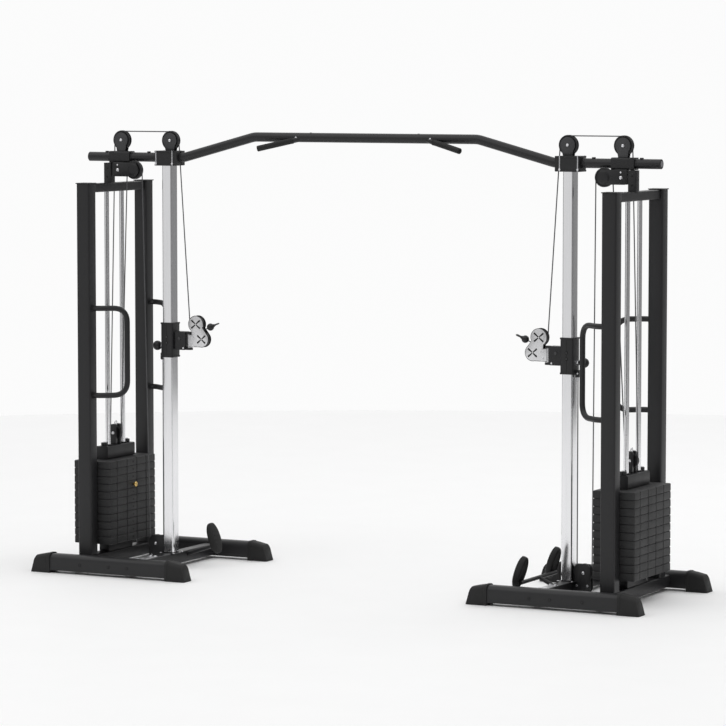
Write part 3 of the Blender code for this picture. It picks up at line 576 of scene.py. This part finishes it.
def draw_rail(label, side):
    """The column rail with the base pulley's cheeks, the column's foot, a bolted plate and the foot pads."""
    front = BEAM_YS["front"] + BEAM_HALF + GAP
    rear = BEAM_YS["rear"] - BEAM_HALF - GAP
    bottom, top = RAIL_Z
    shapes = [("powder", box((-RAIL_HALF, front, bottom), (RAIL_HALF, rear, top), "y", 0.006))]
    for low, high in CHEEK_PLATES:
        shapes.append(("powder", extrude(BASE_CHEEK, "y", low, high, 0.0008)))
    shapes += axle_bolts(BASE_PULLEY)
    for x in (0.050, 0.108):
        shapes.append(("zinc", bolt((x, -CHEEK_FACE, 0.060), (0, -1, 0), 0.0065, 0.004)))
    flange = box((-0.046, -0.052, 0.0770), (0.046, 0.052, 0.0782), corner=0.006)
    shapes.append(("powder", flange))
    bolted_plate = box((-0.023, -0.335, 0.0775), (0.023, -0.175, 0.0800), corner=0.005, inset=0.0006)
    shapes.append(("silver", bolted_plate))
    for y, x in product((-0.320, -0.190), (-0.014, 0.014)):
        shapes.append(("zinc", bolt((x, y, 0.0798), UP, 0.0078, 0.0055)))
    for x, y in product((-0.038, 0.038), (-0.044, 0.044)):
        shapes.append(("zinc", bolt((x, y, 0.0781), UP, 0.0060, 0.0045)))
    shapes += foot_pads(side)
    build(f"{label}_rail", shapes, "frame", [f"{label}_column_rail"], side, EDGE)
    left, right = SIDE_TUBE_X
    bottom, top = SIDE_TUBE_Z
    tube = [("powder", box((left, front, bottom), (right, rear, top), "y", 0.008))]
    build(f"{label}_stack_rail", tube, "frame", [f"{label}_side_tube"], side, EDGE)


def draw_upright(label, side, name):
    y = UPRIGHT_YS[name]
    across, deep = UPRIGHT_HALF
    bottom, top = UPRIGHT_Z
    shaft = box((UPRIGHT_X - across, y - deep, bottom), (UPRIGHT_X + across, y + deep, top), corner=0.009)
    low = (UPRIGHT_X - CAP_HALF, y - CAP_HALF, top)
    high = (UPRIGHT_X + CAP_HALF, y + CAP_HALF, top + 0.005)
    cap = box(low, high, corner=0.006, inset=0.0012)
    shapes = [("powder", shaft), ("nylon", cap)]
    build(f"{label}_{name}_post", shapes, "frame", [f"{label}_{name}_upright"], side, EDGE)


def draw_crossbar(label, side):
    front = UPRIGHT_YS["front"] + UPRIGHT_HALF[1] + GAP
    rear = UPRIGHT_YS["rear"] - UPRIGHT_HALF[1] - GAP
    bottom, top = CROSSBAR_Z
    low = (UPRIGHT_X - CROSSBAR_HALF, front, bottom)
    high = (UPRIGHT_X + CROSSBAR_HALF, rear, top)
    bar = box(low, high, "y", 0.005)
    post = box((0.323, -0.050, 1.9985), (0.367, -0.006, 2.1024), corner=0.005)
    shapes = [("powder", bar), ("powder", post)]
    for z in (2.030, 2.075):
        shapes.append(("dark", bolt((0.345, -0.0498, z), (0, -1, 0), 0.0055, 0.003, True)))
    # Painted shade: a dark ring on the crossbar's top where the cable passes through it.
    shapes.append(("dark", washer((0.3335, 0.002, 1.9993), UP, 0.0055, 0.0085, 0.0006)))
    build(f"{label}_crossbar", shapes, "frame", [f"{label}_top_crossbar"], side, EDGE)


def draw_handle(label, side, name):
    """A bent grab bar: short necks square off the upright, then two wide bends into the part that is held."""
    upright_y = UPRIGHT_YS[name]
    bar_y = HANDLE_YS[name]
    face = UPRIGHT_X - UPRIGHT_HALF[0] - 2 * GAP
    low, high = HANDLE_Z
    neck = face - HANDLE_NECK
    corners = ((face, upright_y, high), (neck, upright_y, high), (HANDLE_X, bar_y, high),
               (HANDLE_X, bar_y, low), (neck, upright_y, low), (face, upright_y, low))
    start = eased(corners[:3], 0.015, 4)
    middle = eased((start[-2], *corners[2:4], corners[4]), HANDLE_BEND, 14)
    end = eased(corners[3:], 0.015, 4)
    shapes = [("powder", swept(start[:-1] + middle[1:-1] + end[1:], HANDLE_RADIUS, 28))]
    for z in HANDLE_Z:
        shapes.append(("powder", rod((face - 0.004, upright_y, z), (face, upright_y, z), 0.019, edge=0.001)))
    build(f"{label}_{name}_grab_bar", shapes, "frame", [f"{label}_{name}_handle"], side)


def draw_column(label, side):
    across, deep = COLUMN_HALF
    bottom, top = COLUMN_Z
    shapes = [("chrome", box((-across, -deep, bottom), (across, deep, top), corner=0.007, steps=6))]
    across += 0.0008
    deep += 0.0008
    rim = box((-across, -deep, bottom), (across, deep, 0.0840), corner=0.0075, steps=6, inset=0.0008)
    shapes.append(("nylon", rim))
    build(f"{label}_chromed_column", shapes, "frame", [f"{label}_column"], side)


def teardrop(spec, neck_z):
    """A cheek's outline: a round head about the pulley's axle on a straight neck."""
    x, _, z = spec[:3]
    outline = [(x - CHEEK_NECK_HALF, neck_z), (x + CHEEK_NECK_HALF, neck_z)]
    for step in range(31):
        angle = math.radians(-40 + 260 * step / 30)
        outline.append((x + CHEEK_RADIUS * math.cos(angle), z + CHEEK_RADIUS * math.sin(angle)))
    return outline


def cheeks(spec, neck_z):
    outline = teardrop(spec, neck_z)
    shapes = []
    for low, high in CHEEK_PLATES:
        shapes.append(("cheek", extrude(outline, "y", spec[1] + low, spec[1] + high, 0.0009)))
    return shapes + axle_bolts(spec)


def draw_column_bracket(label, side):
    """A block about the tube with a slot for the cable, two clamping plates and the bolts through them."""
    bottom, top = BRACKET_Z
    half = BRACKET_HALF
    shapes = [("powder", box((-0.050, -half, bottom), (0.0630, half, top), "x", 0.008))]
    for low, high in ((-half, -SLOT_HALF), (SLOT_HALF, half)):
        shapes.append(("powder", box((-0.0660, low, bottom), (-0.0500, high, top), "y", 0.003)))
    for low, high in ((2.0910, 2.1000), (2.1590, 2.1680)):
        plate = box((-0.0490, -0.0450, low), (0.0660, 0.0450, high), corner=0.006, inset=0.001)
        shapes.append(("powder", plate))
    for x in (-0.040, 0.056):
        for y in (-half, half):
            shapes.append(("zinc", rod((x, y, 2.0905), (x, y, 2.1690), 0.0038, 20)))
        for way in (-1, 1):
            shapes.append(("zinc", bolt((x, way * 0.0420, 2.1020), (0, way, 0), 0.0062, 0.0052)))
    shapes += cheeks(COLUMN_PULLEY, 2.164)
    build(f"{label}_bracket", shapes, "frame", [f"{label}_column_bracket"], side, FINE_EDGE)


def draw_tube_clamp(label, side):
    """The sleeve on the tube, slotted for the cable, with the stack pulley's and return pulley's cheeks."""
    half = CLAMP_HALF
    bottom, top = TUBE_Z - half, TUBE_Z + half
    left, split, right = CLAMP_X
    shapes = [("powder", box((left, -half, bottom), (split, half, top), "x", 0.010))]
    for low, high in ((-half, -SLOT_HALF), (SLOT_HALF, half)):
        shapes.append(("powder", box((split, low, bottom), (right, high, top), "x", 0.004)))
    shapes += cheeks(STACK_PULLEY, TUBE_Z + 0.026)
    x, y, z = RETURN_PULLEY[:3]
    for low, high in CHEEK_PLATES:
        plate = rectangle((x - 0.022, z - 0.034), (0.318, TUBE_Z - 0.028), 0.014)
        shapes.append(("powder", extrude(plate, "y", y + low, y + high, 0.0008)))
    filler = box((0.252, y - 0.0155, z - 0.030), (0.316, y + 0.0155, TUBE_Z - 0.026))
    shapes.append(("powder", filler))
    shapes.append(axle(RETURN_PULLEY, CHEEK_FACE))
    dome = [(0.0, 0.0330), (0.0015, 0.0325), (0.0030, 0.0290), (0.0042, 0.0210), (0.0048, 0.0100)]
    for way in (-1, 1):
        shapes.append(("nylon", turned((x, y + way * 0.0162, z), (0, way, 0), dome, 40)))
    face = y - CHEEK_FACE
    shapes.append(("zinc", bolt((0.285, face, z), (0, -1, 0), 0.0095, 0.0058, True)))
    shapes.append(("zinc", bolt((0.285, face, z + 0.026), (0, -1, 0), 0.0050, 0.0035)))
    build(f"{label}_clamp", shapes, "frame", [f"{label}_tube_clamp"], side, FINE_EDGE)


def draw_guide_rods(label, side):
    shapes = []
    for y in (-ROD_Y, ROD_Y):
        shapes.append(("chrome", rod((ROD_X, y, 0.100), (ROD_X, y, 1.9535), ROD_RADIUS, 40)))
        shapes.append(("nylon", washer((ROD_X, y, 0.1292), UP, ROD_RADIUS, 0.0138, 0.0006)))
    strap = box((ROD_X - 0.030, -0.120, 0.0805), (ROD_X + 0.030, 0.120, 0.1297), corner=0.004, inset=0.001)
    shapes.append(("powder", strap))
    build(f"{label}_rods", shapes, "frame", [f"{label}_guide_rods"], side)


def plate_outline(shrink):
    """A plate seen from above: rounded corners, and four narrow grooves down each long side."""
    low = [edge + shrink for edge in PLATE_LOW]
    high = [edge - shrink for edge in PLATE_HIGH]
    outline = rectangle(low, high, 0.007, 4)
    grooved = []
    for index, (x, y) in enumerate(outline):
        after = outline[(index + 1) % len(outline)]
        grooved.append((x, y))
        if abs(x - after[0]) < 1e-6 and abs(y - after[1]) > 0.1:
            inward = 0.0040 if x < UPRIGHT_X else -0.0040
            way = 1 if after[1] > y else -1
            for centre in PLATE_GROOVES[::way]:
                for offset, cut in ((-0.0036, 0.0), (-0.0020, inward), (0.0020, inward), (0.0036, 0.0)):
                    grooved.append((x + cut, centre + way * offset))
    return grooved


def weight_plate(number):
    """One plate of the stack, with its upper and lower edges rounded over."""
    bottom = STACK_Z + number * PLATE_HEIGHT + GAP
    top = bottom + PLATE_HEIGHT - 2 * GAP
    levels = ((0.0, 0.0034), (0.0010, 0.0016), (0.0028, 0.0004), (0.0050, 0.0))
    rings = []
    for up, shrink in levels:
        rings.append([(x, y, bottom + up) for x, y in plate_outline(shrink)])
    for up, shrink in reversed(levels):
        rings.append([(x, y, top - up) for x, y in plate_outline(shrink)])
    return loft(rings)


def draw_plates(label, side):
    """Both parts of the stack, with a rimmed pin hole in each plate, its depth painted as a dark disc of
    shade; the pin fills one of them.
    """
    face = PLATE_LOW[0]
    groups = (
        ("resting", range(RESTING_COUNT), "frame"),
        ("lifted", range(RESTING_COUNT, PLATE_COUNT), f"{label}_stack"),
    )
    for name, numbers, body in groups:
        shapes = []
        for number in numbers:
            shapes.append(("plate", weight_plate(number)))
            height = STACK_Z + (number + 0.5) * PLATE_HEIGHT
            # Painted shade: a thin dark disc on the plate's face stands for the depth of its pin hole.
            if number != RESTING_COUNT:
                hole = rod((face - 0.0002, 0.0, height), (face + 0.0003, 0.0, height), 0.0058, 24)
                shapes.append(("dark", hole))
            shapes.append(("nylon", washer((face, 0.0, height), (-1, 0, 0), 0.0062, 0.0095, 0.0006)))
        build(f"{label}_{name}_weights", shapes, body, [f"{label}_{name}_plates"], side)


def draw_head(label, side):
    """The tray, the block pulley's fork with a ring on top, rubber bumpers, rod bushes and the stem."""
    shapes = [("powder", box((0.299, -0.1375, 0.5628), (0.371, 0.1375, 0.630), "y", 0.007))]
    x, _, z = BLOCK_PULLEY[:3]
    for low, high in ((-FORK_HALF, -0.0125), (0.0125, FORK_HALF)):
        shapes.append(("powder", box((x - 0.0165, low, 0.626), (x + 0.0165, high, z + 0.047), "y", 0.012)))
    shapes.append(axle(BLOCK_PULLEY, FORK_HALF))
    for way in (-1, 1):
        shapes.append(("zinc", bolt((x, way * 0.0298, z), (0, way, 0), 0.0085, 0.0045, True)))
        y = way * 0.1120
        shapes.append(("nylon", rod((ROD_X, y, 0.629), (ROD_X, y, 0.648), 0.0170, edge=0.002)))
        shapes.append(("zinc", bolt((ROD_X, y, 0.6475), UP, 0.0080, 0.0050)))
        shapes.append(("nylon", washer((ROD_X, way * ROD_Y, 0.6298), UP, 0.0135, 0.0200, 0.0060)))
    shapes.append(("chrome", torus((x, 0.0, z + 0.052), (1, 0, 0), 0.010, 0.0032)))
    shapes.append(("zinc", rod((ROD_X, 0.0, 0.151), (ROD_X, 0.0, 0.570), 0.0109, 32)))
    build(f"{label}_head", shapes, f"{label}_stack", [f"{label}_head_block"], side, EDGE)


def draw_pin(label, side):
    shapes = [
        ("brass", rod((0.2090, 0.0, PIN_Z), (0.2262, 0.0, PIN_Z), 0.0078, 32, 0.0012)),
        ("brass", torus((0.2120, 0.0, PIN_Z), (1, 0, 0), 0.0108, 0.0030)),
        # Painted shade: a small dark disc on the pin's end stands for the recess in it.
        ("dark", rod((0.2082, 0.0, PIN_Z), (0.2092, 0.0, PIN_Z), 0.0040, 24)),
        ("zinc", rod((0.2250, 0.0, PIN_Z), (0.3480, 0.0, PIN_Z), 0.0040, 20, 0.001)),
    ]
    build(f"{label}_pin", shapes, f"{label}_pin", [f"{label}_selector_pin"], side)


def draw_pulley(label, side, name, spec, body):
    """A turned wheel: a round-bottomed groove between two rims, a dished web and a bearing at its hub."""
    x, y, z, outer, pitch, _ = spec
    floor = pitch - CABLE_RADIUS - 0.0009
    web = -WHEEL_HALF + 0.0022
    profile = [(0.0068, -WHEEL_HALF), (0.0150, -WHEEL_HALF), (0.0160, web), (outer - 0.0085, web)]
    profile += [(outer - 0.0070, -WHEEL_HALF), (outer - 0.0008, -WHEEL_HALF)]
    profile += [(outer, -WHEEL_HALF + 0.0008), (outer, -0.0062)]
    for step in range(9):
        angle = math.pi * step / 8
        profile.append((outer - (outer - floor) * math.sin(angle) ** 0.7, -0.0058 * math.cos(angle)))
    profile += [(radius, -height) for radius, height in profile[7::-1]]
    rings = []
    for step in range(56):
        angle = math.tau * step / 56
        rings.append([(x + r * math.cos(angle), y + h, z + r * math.sin(angle)) for r, h in profile])
    shapes = [("nylon", loft(rings, closed=True))]
    for way in (-1, 1):
        seat = y + way * (WHEEL_HALF - 0.0004)
        shapes.append(("zinc", washer((x, seat, z), (0, way, 0), 0.0070, 0.0125, 0.0010)))
    build(f"{label}_{name}_wheel", shapes, body, [f"{label}_{name}"], side)


def draw_carriage(label, side):
    """The sleeve with a black collar at each end, its hinge block and knuckle, bolts and cable lug."""
    play = [half + SLEEVE_PLAY for half in COLUMN_HALF]
    hole = rectangle((-play[0], -play[1]), play, 0.008)
    shapes = []
    sleeves = (
        ("powder", 0.0, *CARRIAGE_Z),
        ("nylon", COLLAR_PROUD, 1.1000, 1.1080),
        ("nylon", COLLAR_PROUD, 1.2720, 1.2800),
    )
    for look, proud, bottom, top in sleeves:
        across, deep = [half + proud for half in CARRIAGE_HALF]
        outline = rectangle((-across, -deep), (across, deep), 0.008)
        rings = []
        for loop, height in ((outline, bottom), (outline, top), (hole, top), (hole, bottom)):
            rings.append([(x, y, height) for x, y in loop])
        shapes.append((look, loft(rings, closed=True)))
    shapes.append(("powder", box((-0.100, -HINGE_HALF, 1.140), (-0.038, HINGE_HALF, 1.235), "y", 0.004)))
    for low, high in ((1.1405, 1.1515), (1.2235, 1.2345)):
        shapes.append(("powder", rod((HINGE_X, 0.0, low), (HINGE_X, 0.0, high), 0.0150, 32, 0.0008)))
        shapes.append(("powder", box((HINGE_X, -0.0145, low), (-0.096, 0.0145, high))))
    shapes.append(("zinc", rod((HINGE_X, 0.0, 1.143), (HINGE_X, 0.0, 1.232), 0.0050, 20)))
    for way in (-1, 1):
        seat = way * (HINGE_HALF - 0.0002)
        shapes.append(("cheek", bolt((-0.066, seat, 1.200), (0, way, 0), 0.0088, 0.0050)))
        shapes.append(("zinc", bolt((-0.088, seat, 1.150), (0, way, 0), 0.0056, 0.0045, True)))
        face = way * CARRIAGE_HALF[1]
        shapes.append(("dark", box((-0.0016, face - 0.0004, 1.112), (0.0016, face + 0.0004, 1.268))))
        for z in (1.176, 1.206):
            shapes.append(("dark", rod((0.0, way * 0.0398, z), (0.0, way * 0.0408, z), 0.0085, 32)))
            shapes.append(("cheek", bolt((0.0, way * 0.0406, z), (0, way, 0), 0.0048, 0.0026)))
    shapes.append(("powder", box((0.0340, -0.010, LUG_BOTTOM), (0.0540, 0.010, 1.121), "y", 0.004)))
    shapes.append(("zinc", bolt((0.0465, -0.0098, 1.104), (0, -1, 0), 0.0048, 0.0035)))
    shapes.append(("zinc", washer((0.0340, 0.0, KNOB_PLACE[2]), (1, 0, 0), 0.0072, 0.0130, 0.0160)))
    build(f"{label}_carriage_sleeve", shapes, f"{label}_carriage", [f"{label}_carriage"], side, FINE_EDGE)


def draw_knob(label, side):
    """A ball grip that flows into a short neck, and the latch pin that it pulls."""
    x, y, z = KNOB_PLACE
    profile = [(0.0, 0.0085), (0.004, 0.0095), (0.009, 0.0125)]
    for row in range(15):
        angle = math.pi * (0.16 + 0.82 * row / 14)
        profile.append((KNOB_NECK - KNOB_RADIUS * math.cos(angle), KNOB_RADIUS * math.sin(angle)))
    shapes = [
        ("nylon", turned((x - KNOB_NECK, y, z), (1, 0, 0), profile, 40)),
        ("zinc", rod((0.0294, y, z), (x - 0.025, y, z), 0.0059, 24)),
    ]
    build(f"{label}_latch_knob", shapes, f"{label}_knob", [f"{label}_pull_knob"], side)


def arc_points(spec, radius, start, end, steps):
    points = []
    for step in range(steps + 1):
        angle = math.radians(start + (end - start) * step / steps)
        points.append((spec[0] + radius * math.cos(angle), spec[2] + radius * math.sin(angle)))
    return points


def boot_outline(trim):
    """A swivel plate's outline: a straight back on the hinge line, and a round toe about each pulley."""
    outline = [(HINGE_X, 1.156 + trim), (HINGE_X, 1.221 - trim), (HINGE_X - 0.020, 1.222 - trim)]
    outline += arc_points(UPPER_SWIVEL, 0.045 - trim, -55, 205, 36)
    outline += arc_points(LOWER_SWIVEL, 0.042 - trim, 140, 285, 22)
    return outline


def painted_cross_slots(spec, y, way, reach):
    """Two crossed slots in a swivel plate, each a little wider at its ends, drawn as a thin dark X: painted
    shade for the slots' depth.
    """
    shapes = []
    centre = Vector((spec[0], y, spec[2]))
    for angle, depth in ((40, 0.0005), (140, 0.0007)):
        arm = Vector((math.cos(math.radians(angle)), 0.0, math.sin(math.radians(angle))))
        wide = Vector((-arm.z, 0.0, arm.x))
        edge = ((-0.93, 0.0044), (-0.5, 0.0038), (0.0, 0.0022), (0.5, 0.0038), (0.93, 0.0044))
        far_edge = [(along, -across) for along, across in edge[::-1]]
        corners = [(-1.0, 0.0), *edge, (1.0, 0.0), *far_edge]
        rings = []
        for height in (0.0, depth):
            offset = centre + Vector((0.0, way * height, 0.0))
            rings.append([offset + arm * along * reach + wide * across for along, across in corners])
        shapes.append(("dark", loft(rings)))
    return shapes


def draw_swivel(label, side):
    shapes = []
    for way in (-1, 1):
        outer = way * 0.0163
        low, high = sorted((way * 0.0125, way * 0.0145))
        shapes.append(("nylon", extrude(boot_outline(0.0), "y", low, high)))
        low, high = sorted((way * 0.0145, outer))
        shapes.append(("silver", extrude(boot_outline(0.0028), "y", low, high, 0.0006)))
        for spec, reach in ((UPPER_SWIVEL, 0.034), (LOWER_SWIVEL, 0.032)):
            shapes += painted_cross_slots(spec, outer, way, reach)
            shapes.append(("silver", bolt((spec[0], outer, spec[2]), (0, way, 0), 0.0040, 0.0012, True)))
        for z in (1.172, 1.206):
            shapes.append(("zinc", bolt((HINGE_X - 0.020, outer, z), (0, way, 0), 0.0048, 0.0030, True)))
    for spec in (UPPER_SWIVEL, LOWER_SWIVEL):
        shapes.append(axle(spec, 0.0160))
    low = (HINGE_X - 0.0325, -0.0150, 1.158)
    high = (HINGE_X - 0.010, 0.0150, 1.219)
    shapes.append(("silver", box(low, high, "y", 0.002)))
    shapes.append(("silver", washer((HINGE_X, 0.0, 1.1530), UP, 0.0056, 0.0135, 0.0690)))
    build(f"{label}_swivel_plates", shapes, f"{label}_swivel", [f"{label}_swivel_head"], side)


def pull_line():
    """Where the cable passes between the swivel pulleys, and the way it is pulled."""
    upper = Vector((UPPER_SWIVEL[0], 0.0, UPPER_SWIVEL[2]))
    lower = Vector((LOWER_SWIVEL[0], 0.0, LOWER_SWIVEL[2]))
    between = (lower - upper).normalized()
    return upper + between * UPPER_SWIVEL[4], Vector((between.z, 0.0, -between.x))


def draw_stop(label, side):
    crossing, way = pull_line()
    centre = crossing + way * STOP_DISTANCE
    profile = []
    for row in range(17):
        angle = math.pi * (0.05 + 0.90 * row / 16)
        profile.append((-STOP_RADIUS * math.cos(angle), STOP_RADIUS * math.sin(angle)))
    shapes = [
        ("nylon", turned(centre, way, profile, 40)),
        ("nylon", turned(centre, way, [(0.012, 0.0105), (0.024, 0.0075), (0.026, 0.0060)], 32)),
        ("cheek", rod(centre + way * 0.024, centre + way * 0.0325, 0.0055, 24, 0.0008)),
        ("cheek", torus(centre + way * 0.041, (-way.z, 0.0, way.x), 0.0110, 0.0029)),
    ]
    build(f"{label}_ball_stop", shapes, f"{label}_cable_end", [f"{label}_cable_stop"], side)


# The cable.


def tangent_angle(first, second):
    """The direction of the straight stretch that leaves one pulley and meets the next."""
    across = second[0] - first[0]
    up = second[2] - first[2]
    offset = (first[5] * first[4] - second[5] * second[4]) / math.hypot(across, up)
    return math.atan2(up, across) + math.asin(offset)


def wrapped(spec, arriving, leaving):
    """Points of the cable round a pulley, from the direction it arrives in to the one it leaves in."""
    x, y, z, _, pitch, turn = spec
    start = arriving - turn * math.pi / 2
    sweep = ((leaving - arriving) * turn) % math.tau
    steps = max(8, round(sweep / math.radians(7)))
    points = []
    for step in range(steps + 1):
        angle = start + turn * sweep * step / steps
        points.append(Vector((x + pitch * math.cos(angle), y, z + pitch * math.sin(angle))))
    return points


def stretch(start, end, count=25):
    return [start.lerp(end, step / (count - 1)) for step in range(count)]


def draw_cable(label, side):
    """The cable in stretches: each rides on one body, or stays fixed where it runs out between two bodies."""
    crossing, way = pull_line()
    wheels = [spec for spec in PULLEYS.values() if spec is not LOWER_SWIVEL]
    angles = [math.atan2(-way.z, -way.x)]
    angles += [tangent_angle(first, second) for first, second in zip(wheels, wheels[1:])] + [math.pi / 2]
    arcs = [wrapped(spec, angles[index], angles[index + 1]) for index, spec in enumerate(wheels)]
    upper, column, stack, block, back, base = arcs
    end = crossing + way * (STOP_DISTANCE - STOP_RADIUS)
    lug = Vector((base[-1].x, 0.0, LUG_BOTTOM))
    carriage = f"{label}_carriage"
    weights = f"{label}_stack"
    pieces = (
        ("pull", stretch(crossing, end), (f"{label}_swivel", f"{label}_cable_end")),
        ("swivel_bend", upper, f"{label}_swivel"),
        ("front_fall", stretch(upper[-1], column[0]), (carriage, "frame")),
        ("top", column + stack, "frame"),
        ("stack_fall", stretch(stack[-1], block[0]), ("frame", weights)),
        ("block_bend", block, weights),
        ("stack_rise", stretch(block[-1], back[0]), (weights, "frame")),
        ("return", back + base, "frame"),
        ("climb", stretch(base[-1], lug), ("frame", carriage)),
    )
    mirror = Matrix.Diagonal((side, 1, 1))
    shift = Vector((side * COLUMN_X, COLUMN_Y, 0.0))
    for name, route, body in pieces:
        where = body
        if not isinstance(body, str):
            where = (*body, mirror @ route[0] + shift, mirror @ route[-1] + shift)
        shapes = [("cable", swept(route, CABLE_RADIUS, 12))]
        nodes = [f"{label}_cable"] if name == "return" else ()
        build(f"{label}_cable_{name}", shapes, where, nodes, side)
    ferrule = [("zinc", rod(lug - Vector((0, 0, 0.016)), lug, 0.0048, 20, 0.0008))]
    build(f"{label}_lug_ferrule", ferrule, carriage, (), side)


def draw_bar():
    """The pull-up bar: end discs, collars, domes at the grips' roots, and rubber-covered grips."""
    half = [
        (TUBE_END_X, COLUMN_Y, TUBE_Z),
        (RISE_START_X, COLUMN_Y, TUBE_Z),
        (RISE_END_X, COLUMN_Y, BAR_Z),
    ]
    corners = [(-x, y, z) for x, y, z in half] + half[::-1]
    shapes = [("powder", swept(eased(corners, 0.018, 6), TUBE_RADIUS, 40))]
    cap = [(0.0, 0.0242), (0.002, 0.0242), (0.0035, 0.0225), (0.0038, 0.0180)]
    collar = [(0.0, 0.0252), (0.005, 0.0252)]
    for side in SIDES.values():
        start = Vector((side * GRIP_ROOT[0], *GRIP_ROOT[1:]))
        end = Vector((side * GRIP_TIP[0], *GRIP_TIP[1:]))
        way = (end - start).normalized()
        shapes.append(("powder", rod(start, end, 0.0135, 32, 0.002)))
        shapes.append(("rubber", rod(start + way * 0.075, end, 0.0150, 36, 0.003)))
        shapes.append(("rubber", rod(start + way * 0.070, start + way * 0.078, 0.0158, 36, 0.001)))
        shapes.append(("powder", ball((side * 0.304, COLUMN_Y, BAR_Z + 0.014), 0.0140, squash=0.85)))
        screw = Vector((side * 0.378, COLUMN_Y, BAR_Z))
        shapes.append(("zinc", rod(screw - Vector((0.0, 0.0245, 0.0)), screw, 0.0050, 20)))
        shapes.append(("nylon", turned((side * TUBE_END_X, COLUMN_Y, TUBE_Z), (side, 0, 0), cap, 40)))
        disc = [Vector((side * x, COLUMN_Y, TUBE_Z)) for x in (1.6090, 1.6100)]
        shapes.append(("label", rod(*disc, 0.0150, 40)))
        for x in (1.253, 1.505):
            place = (side * x, COLUMN_Y, TUBE_Z + 0.0225)
            shapes.append(("powder", bolt(place, UP, 0.0105, 0.0075)))
        for x in (1.205, 1.350, 1.480):
            shapes.append(("powder", turned((side * x, COLUMN_Y, TUBE_Z), (1, 0, 0), collar, 40)))
        # Painted shade: thin dark pads on the tube's top stand for the cable's slots.
        for x in CABLE_SLOT_XS:
            low = (side * x - 0.008, COLUMN_Y - 0.0058, TUBE_Z + 0.0228)
            high = (side * x + 0.008, COLUMN_Y + 0.0058, TUBE_Z + 0.0244)
            shapes.append(("dark", box(low, high, "z", 0.005)))
    build("pull_up_tube", shapes, "frame", ["pull_up_bar"])


def draw_tower(label, side):
    for name in BEAM_YS:
        draw_beam(label, side, name)
        draw_upright(label, side, name)
    draw_rail(label, side)
    draw_crossbar(label, side)
    for name in HANDLE_YS:
        draw_handle(label, side, name)
    draw_column(label, side)
    draw_column_bracket(label, side)
    draw_tube_clamp(label, side)
    draw_guide_rods(label, side)
    draw_plates(label, side)
    draw_head(label, side)
    draw_pin(label, side)
    draw_carriage(label, side)
    draw_knob(label, side)
    draw_swivel(label, side)
    draw_stop(label, side)
    for name, spec in PULLEYS.items():
        body = f"{label}_{name.removesuffix('_pulley').removesuffix('_swivel')}_wheel"
        draw_pulley(label, side, name, spec, body)
    draw_cable(label, side)


# The studio.


def add_camera():
    data = bpy.data.cameras.new("camera")
    data.lens = CAMERA_LENS
    data.sensor_width = SENSOR_WIDTH
    data.clip_end = 200.0
    camera = bpy.data.objects.new("camera", data)
    camera.location = CAMERA_PLACE
    camera.rotation_euler = (math.radians(90 - CAMERA_PITCH), 0.0, math.radians(CAMERA_YAW))
    bpy.context.scene.collection.objects.link(camera)
    bpy.context.scene.camera = camera


def add_light(name, place, target, size, power):
    data = bpy.data.lights.new(name, "AREA")
    data.shape = "SQUARE"
    data.size = size
    data.energy = power
    light = bpy.data.objects.new(name, data)
    light.location = place
    light.rotation_euler = (Vector(target) - Vector(place)).to_track_quat("-Z", "Y").to_euler()
    bpy.context.scene.collection.objects.link(light)


def add_world():
    """A white backdrop, a softbox to the front left and a bright ceiling, in an otherwise grey studio."""
    world = bpy.data.worlds.new("studio")
    bpy.context.scene.world = world
    world.use_nodes = True
    nodes = world.node_tree.nodes
    links = world.node_tree.links
    place = nodes.new("ShaderNodeTexCoord")
    brightest = None
    for way, start, end, level in ZONES:
        toward = nodes.new("ShaderNodeVectorMath")
        toward.operation = "DOT_PRODUCT"
        toward.inputs[1].default_value = way
        links.new(place.outputs["Generated"], toward.inputs[0])
        fade = nodes.new("ShaderNodeMapRange")
        fade.interpolation_type = "SMOOTHSTEP"
        fade.inputs["From Min"].default_value = start
        fade.inputs["From Max"].default_value = end
        fade.inputs["To Min"].default_value = SHADE_LEVEL
        fade.inputs["To Max"].default_value = level
        links.new(toward.outputs["Value"], fade.inputs["Value"])
        if brightest is None:
            brightest = fade.outputs["Result"]
            continue
        largest = nodes.new("ShaderNodeMath")
        largest.operation = "MAXIMUM"
        links.new(brightest, largest.inputs[0])
        links.new(fade.outputs["Result"], largest.inputs[1])
        brightest = largest.outputs["Value"]
    links.new(brightest, nodes["Background"].inputs["Strength"])
    nodes["Background"].inputs["Color"].default_value = (1.0, 1.0, 1.0, 1.0)


def add_studio():
    mesh = bpy.data.meshes.new("floor")
    edge = ring_about((0.0, 0.0, -0.0005), UP, FLOOR_RADIUS, FLOOR_SIDES)
    mesh.from_pydata(edge, [], [tuple(range(FLOOR_SIDES))])
    floor = bpy.data.objects.new("floor", mesh)
    pale = surface("pale_floor", (0.93, 0.93, 0.93), 0.70, 0.0, (3.0, 0.02, EVEN), 0.01, 0.05)
    mesh.materials.append(pale)
    bpy.context.scene.collection.objects.link(floor)
    add_world()
    add_light("key", (-3.0, -5.0, 7.5), (0.0, 0.0, 0.6), 5.0, 45.0)
    add_light("rim", (3.0, 5.0, 6.0), (0.0, 0.0, 1.0), 4.0, 40.0)
    bpy.context.scene.view_settings.view_transform = "Standard"


add_camera()
for tower_label, tower_side in SIDES.items():
    draw_tower(tower_label, tower_side)
draw_bar()
add_studio()
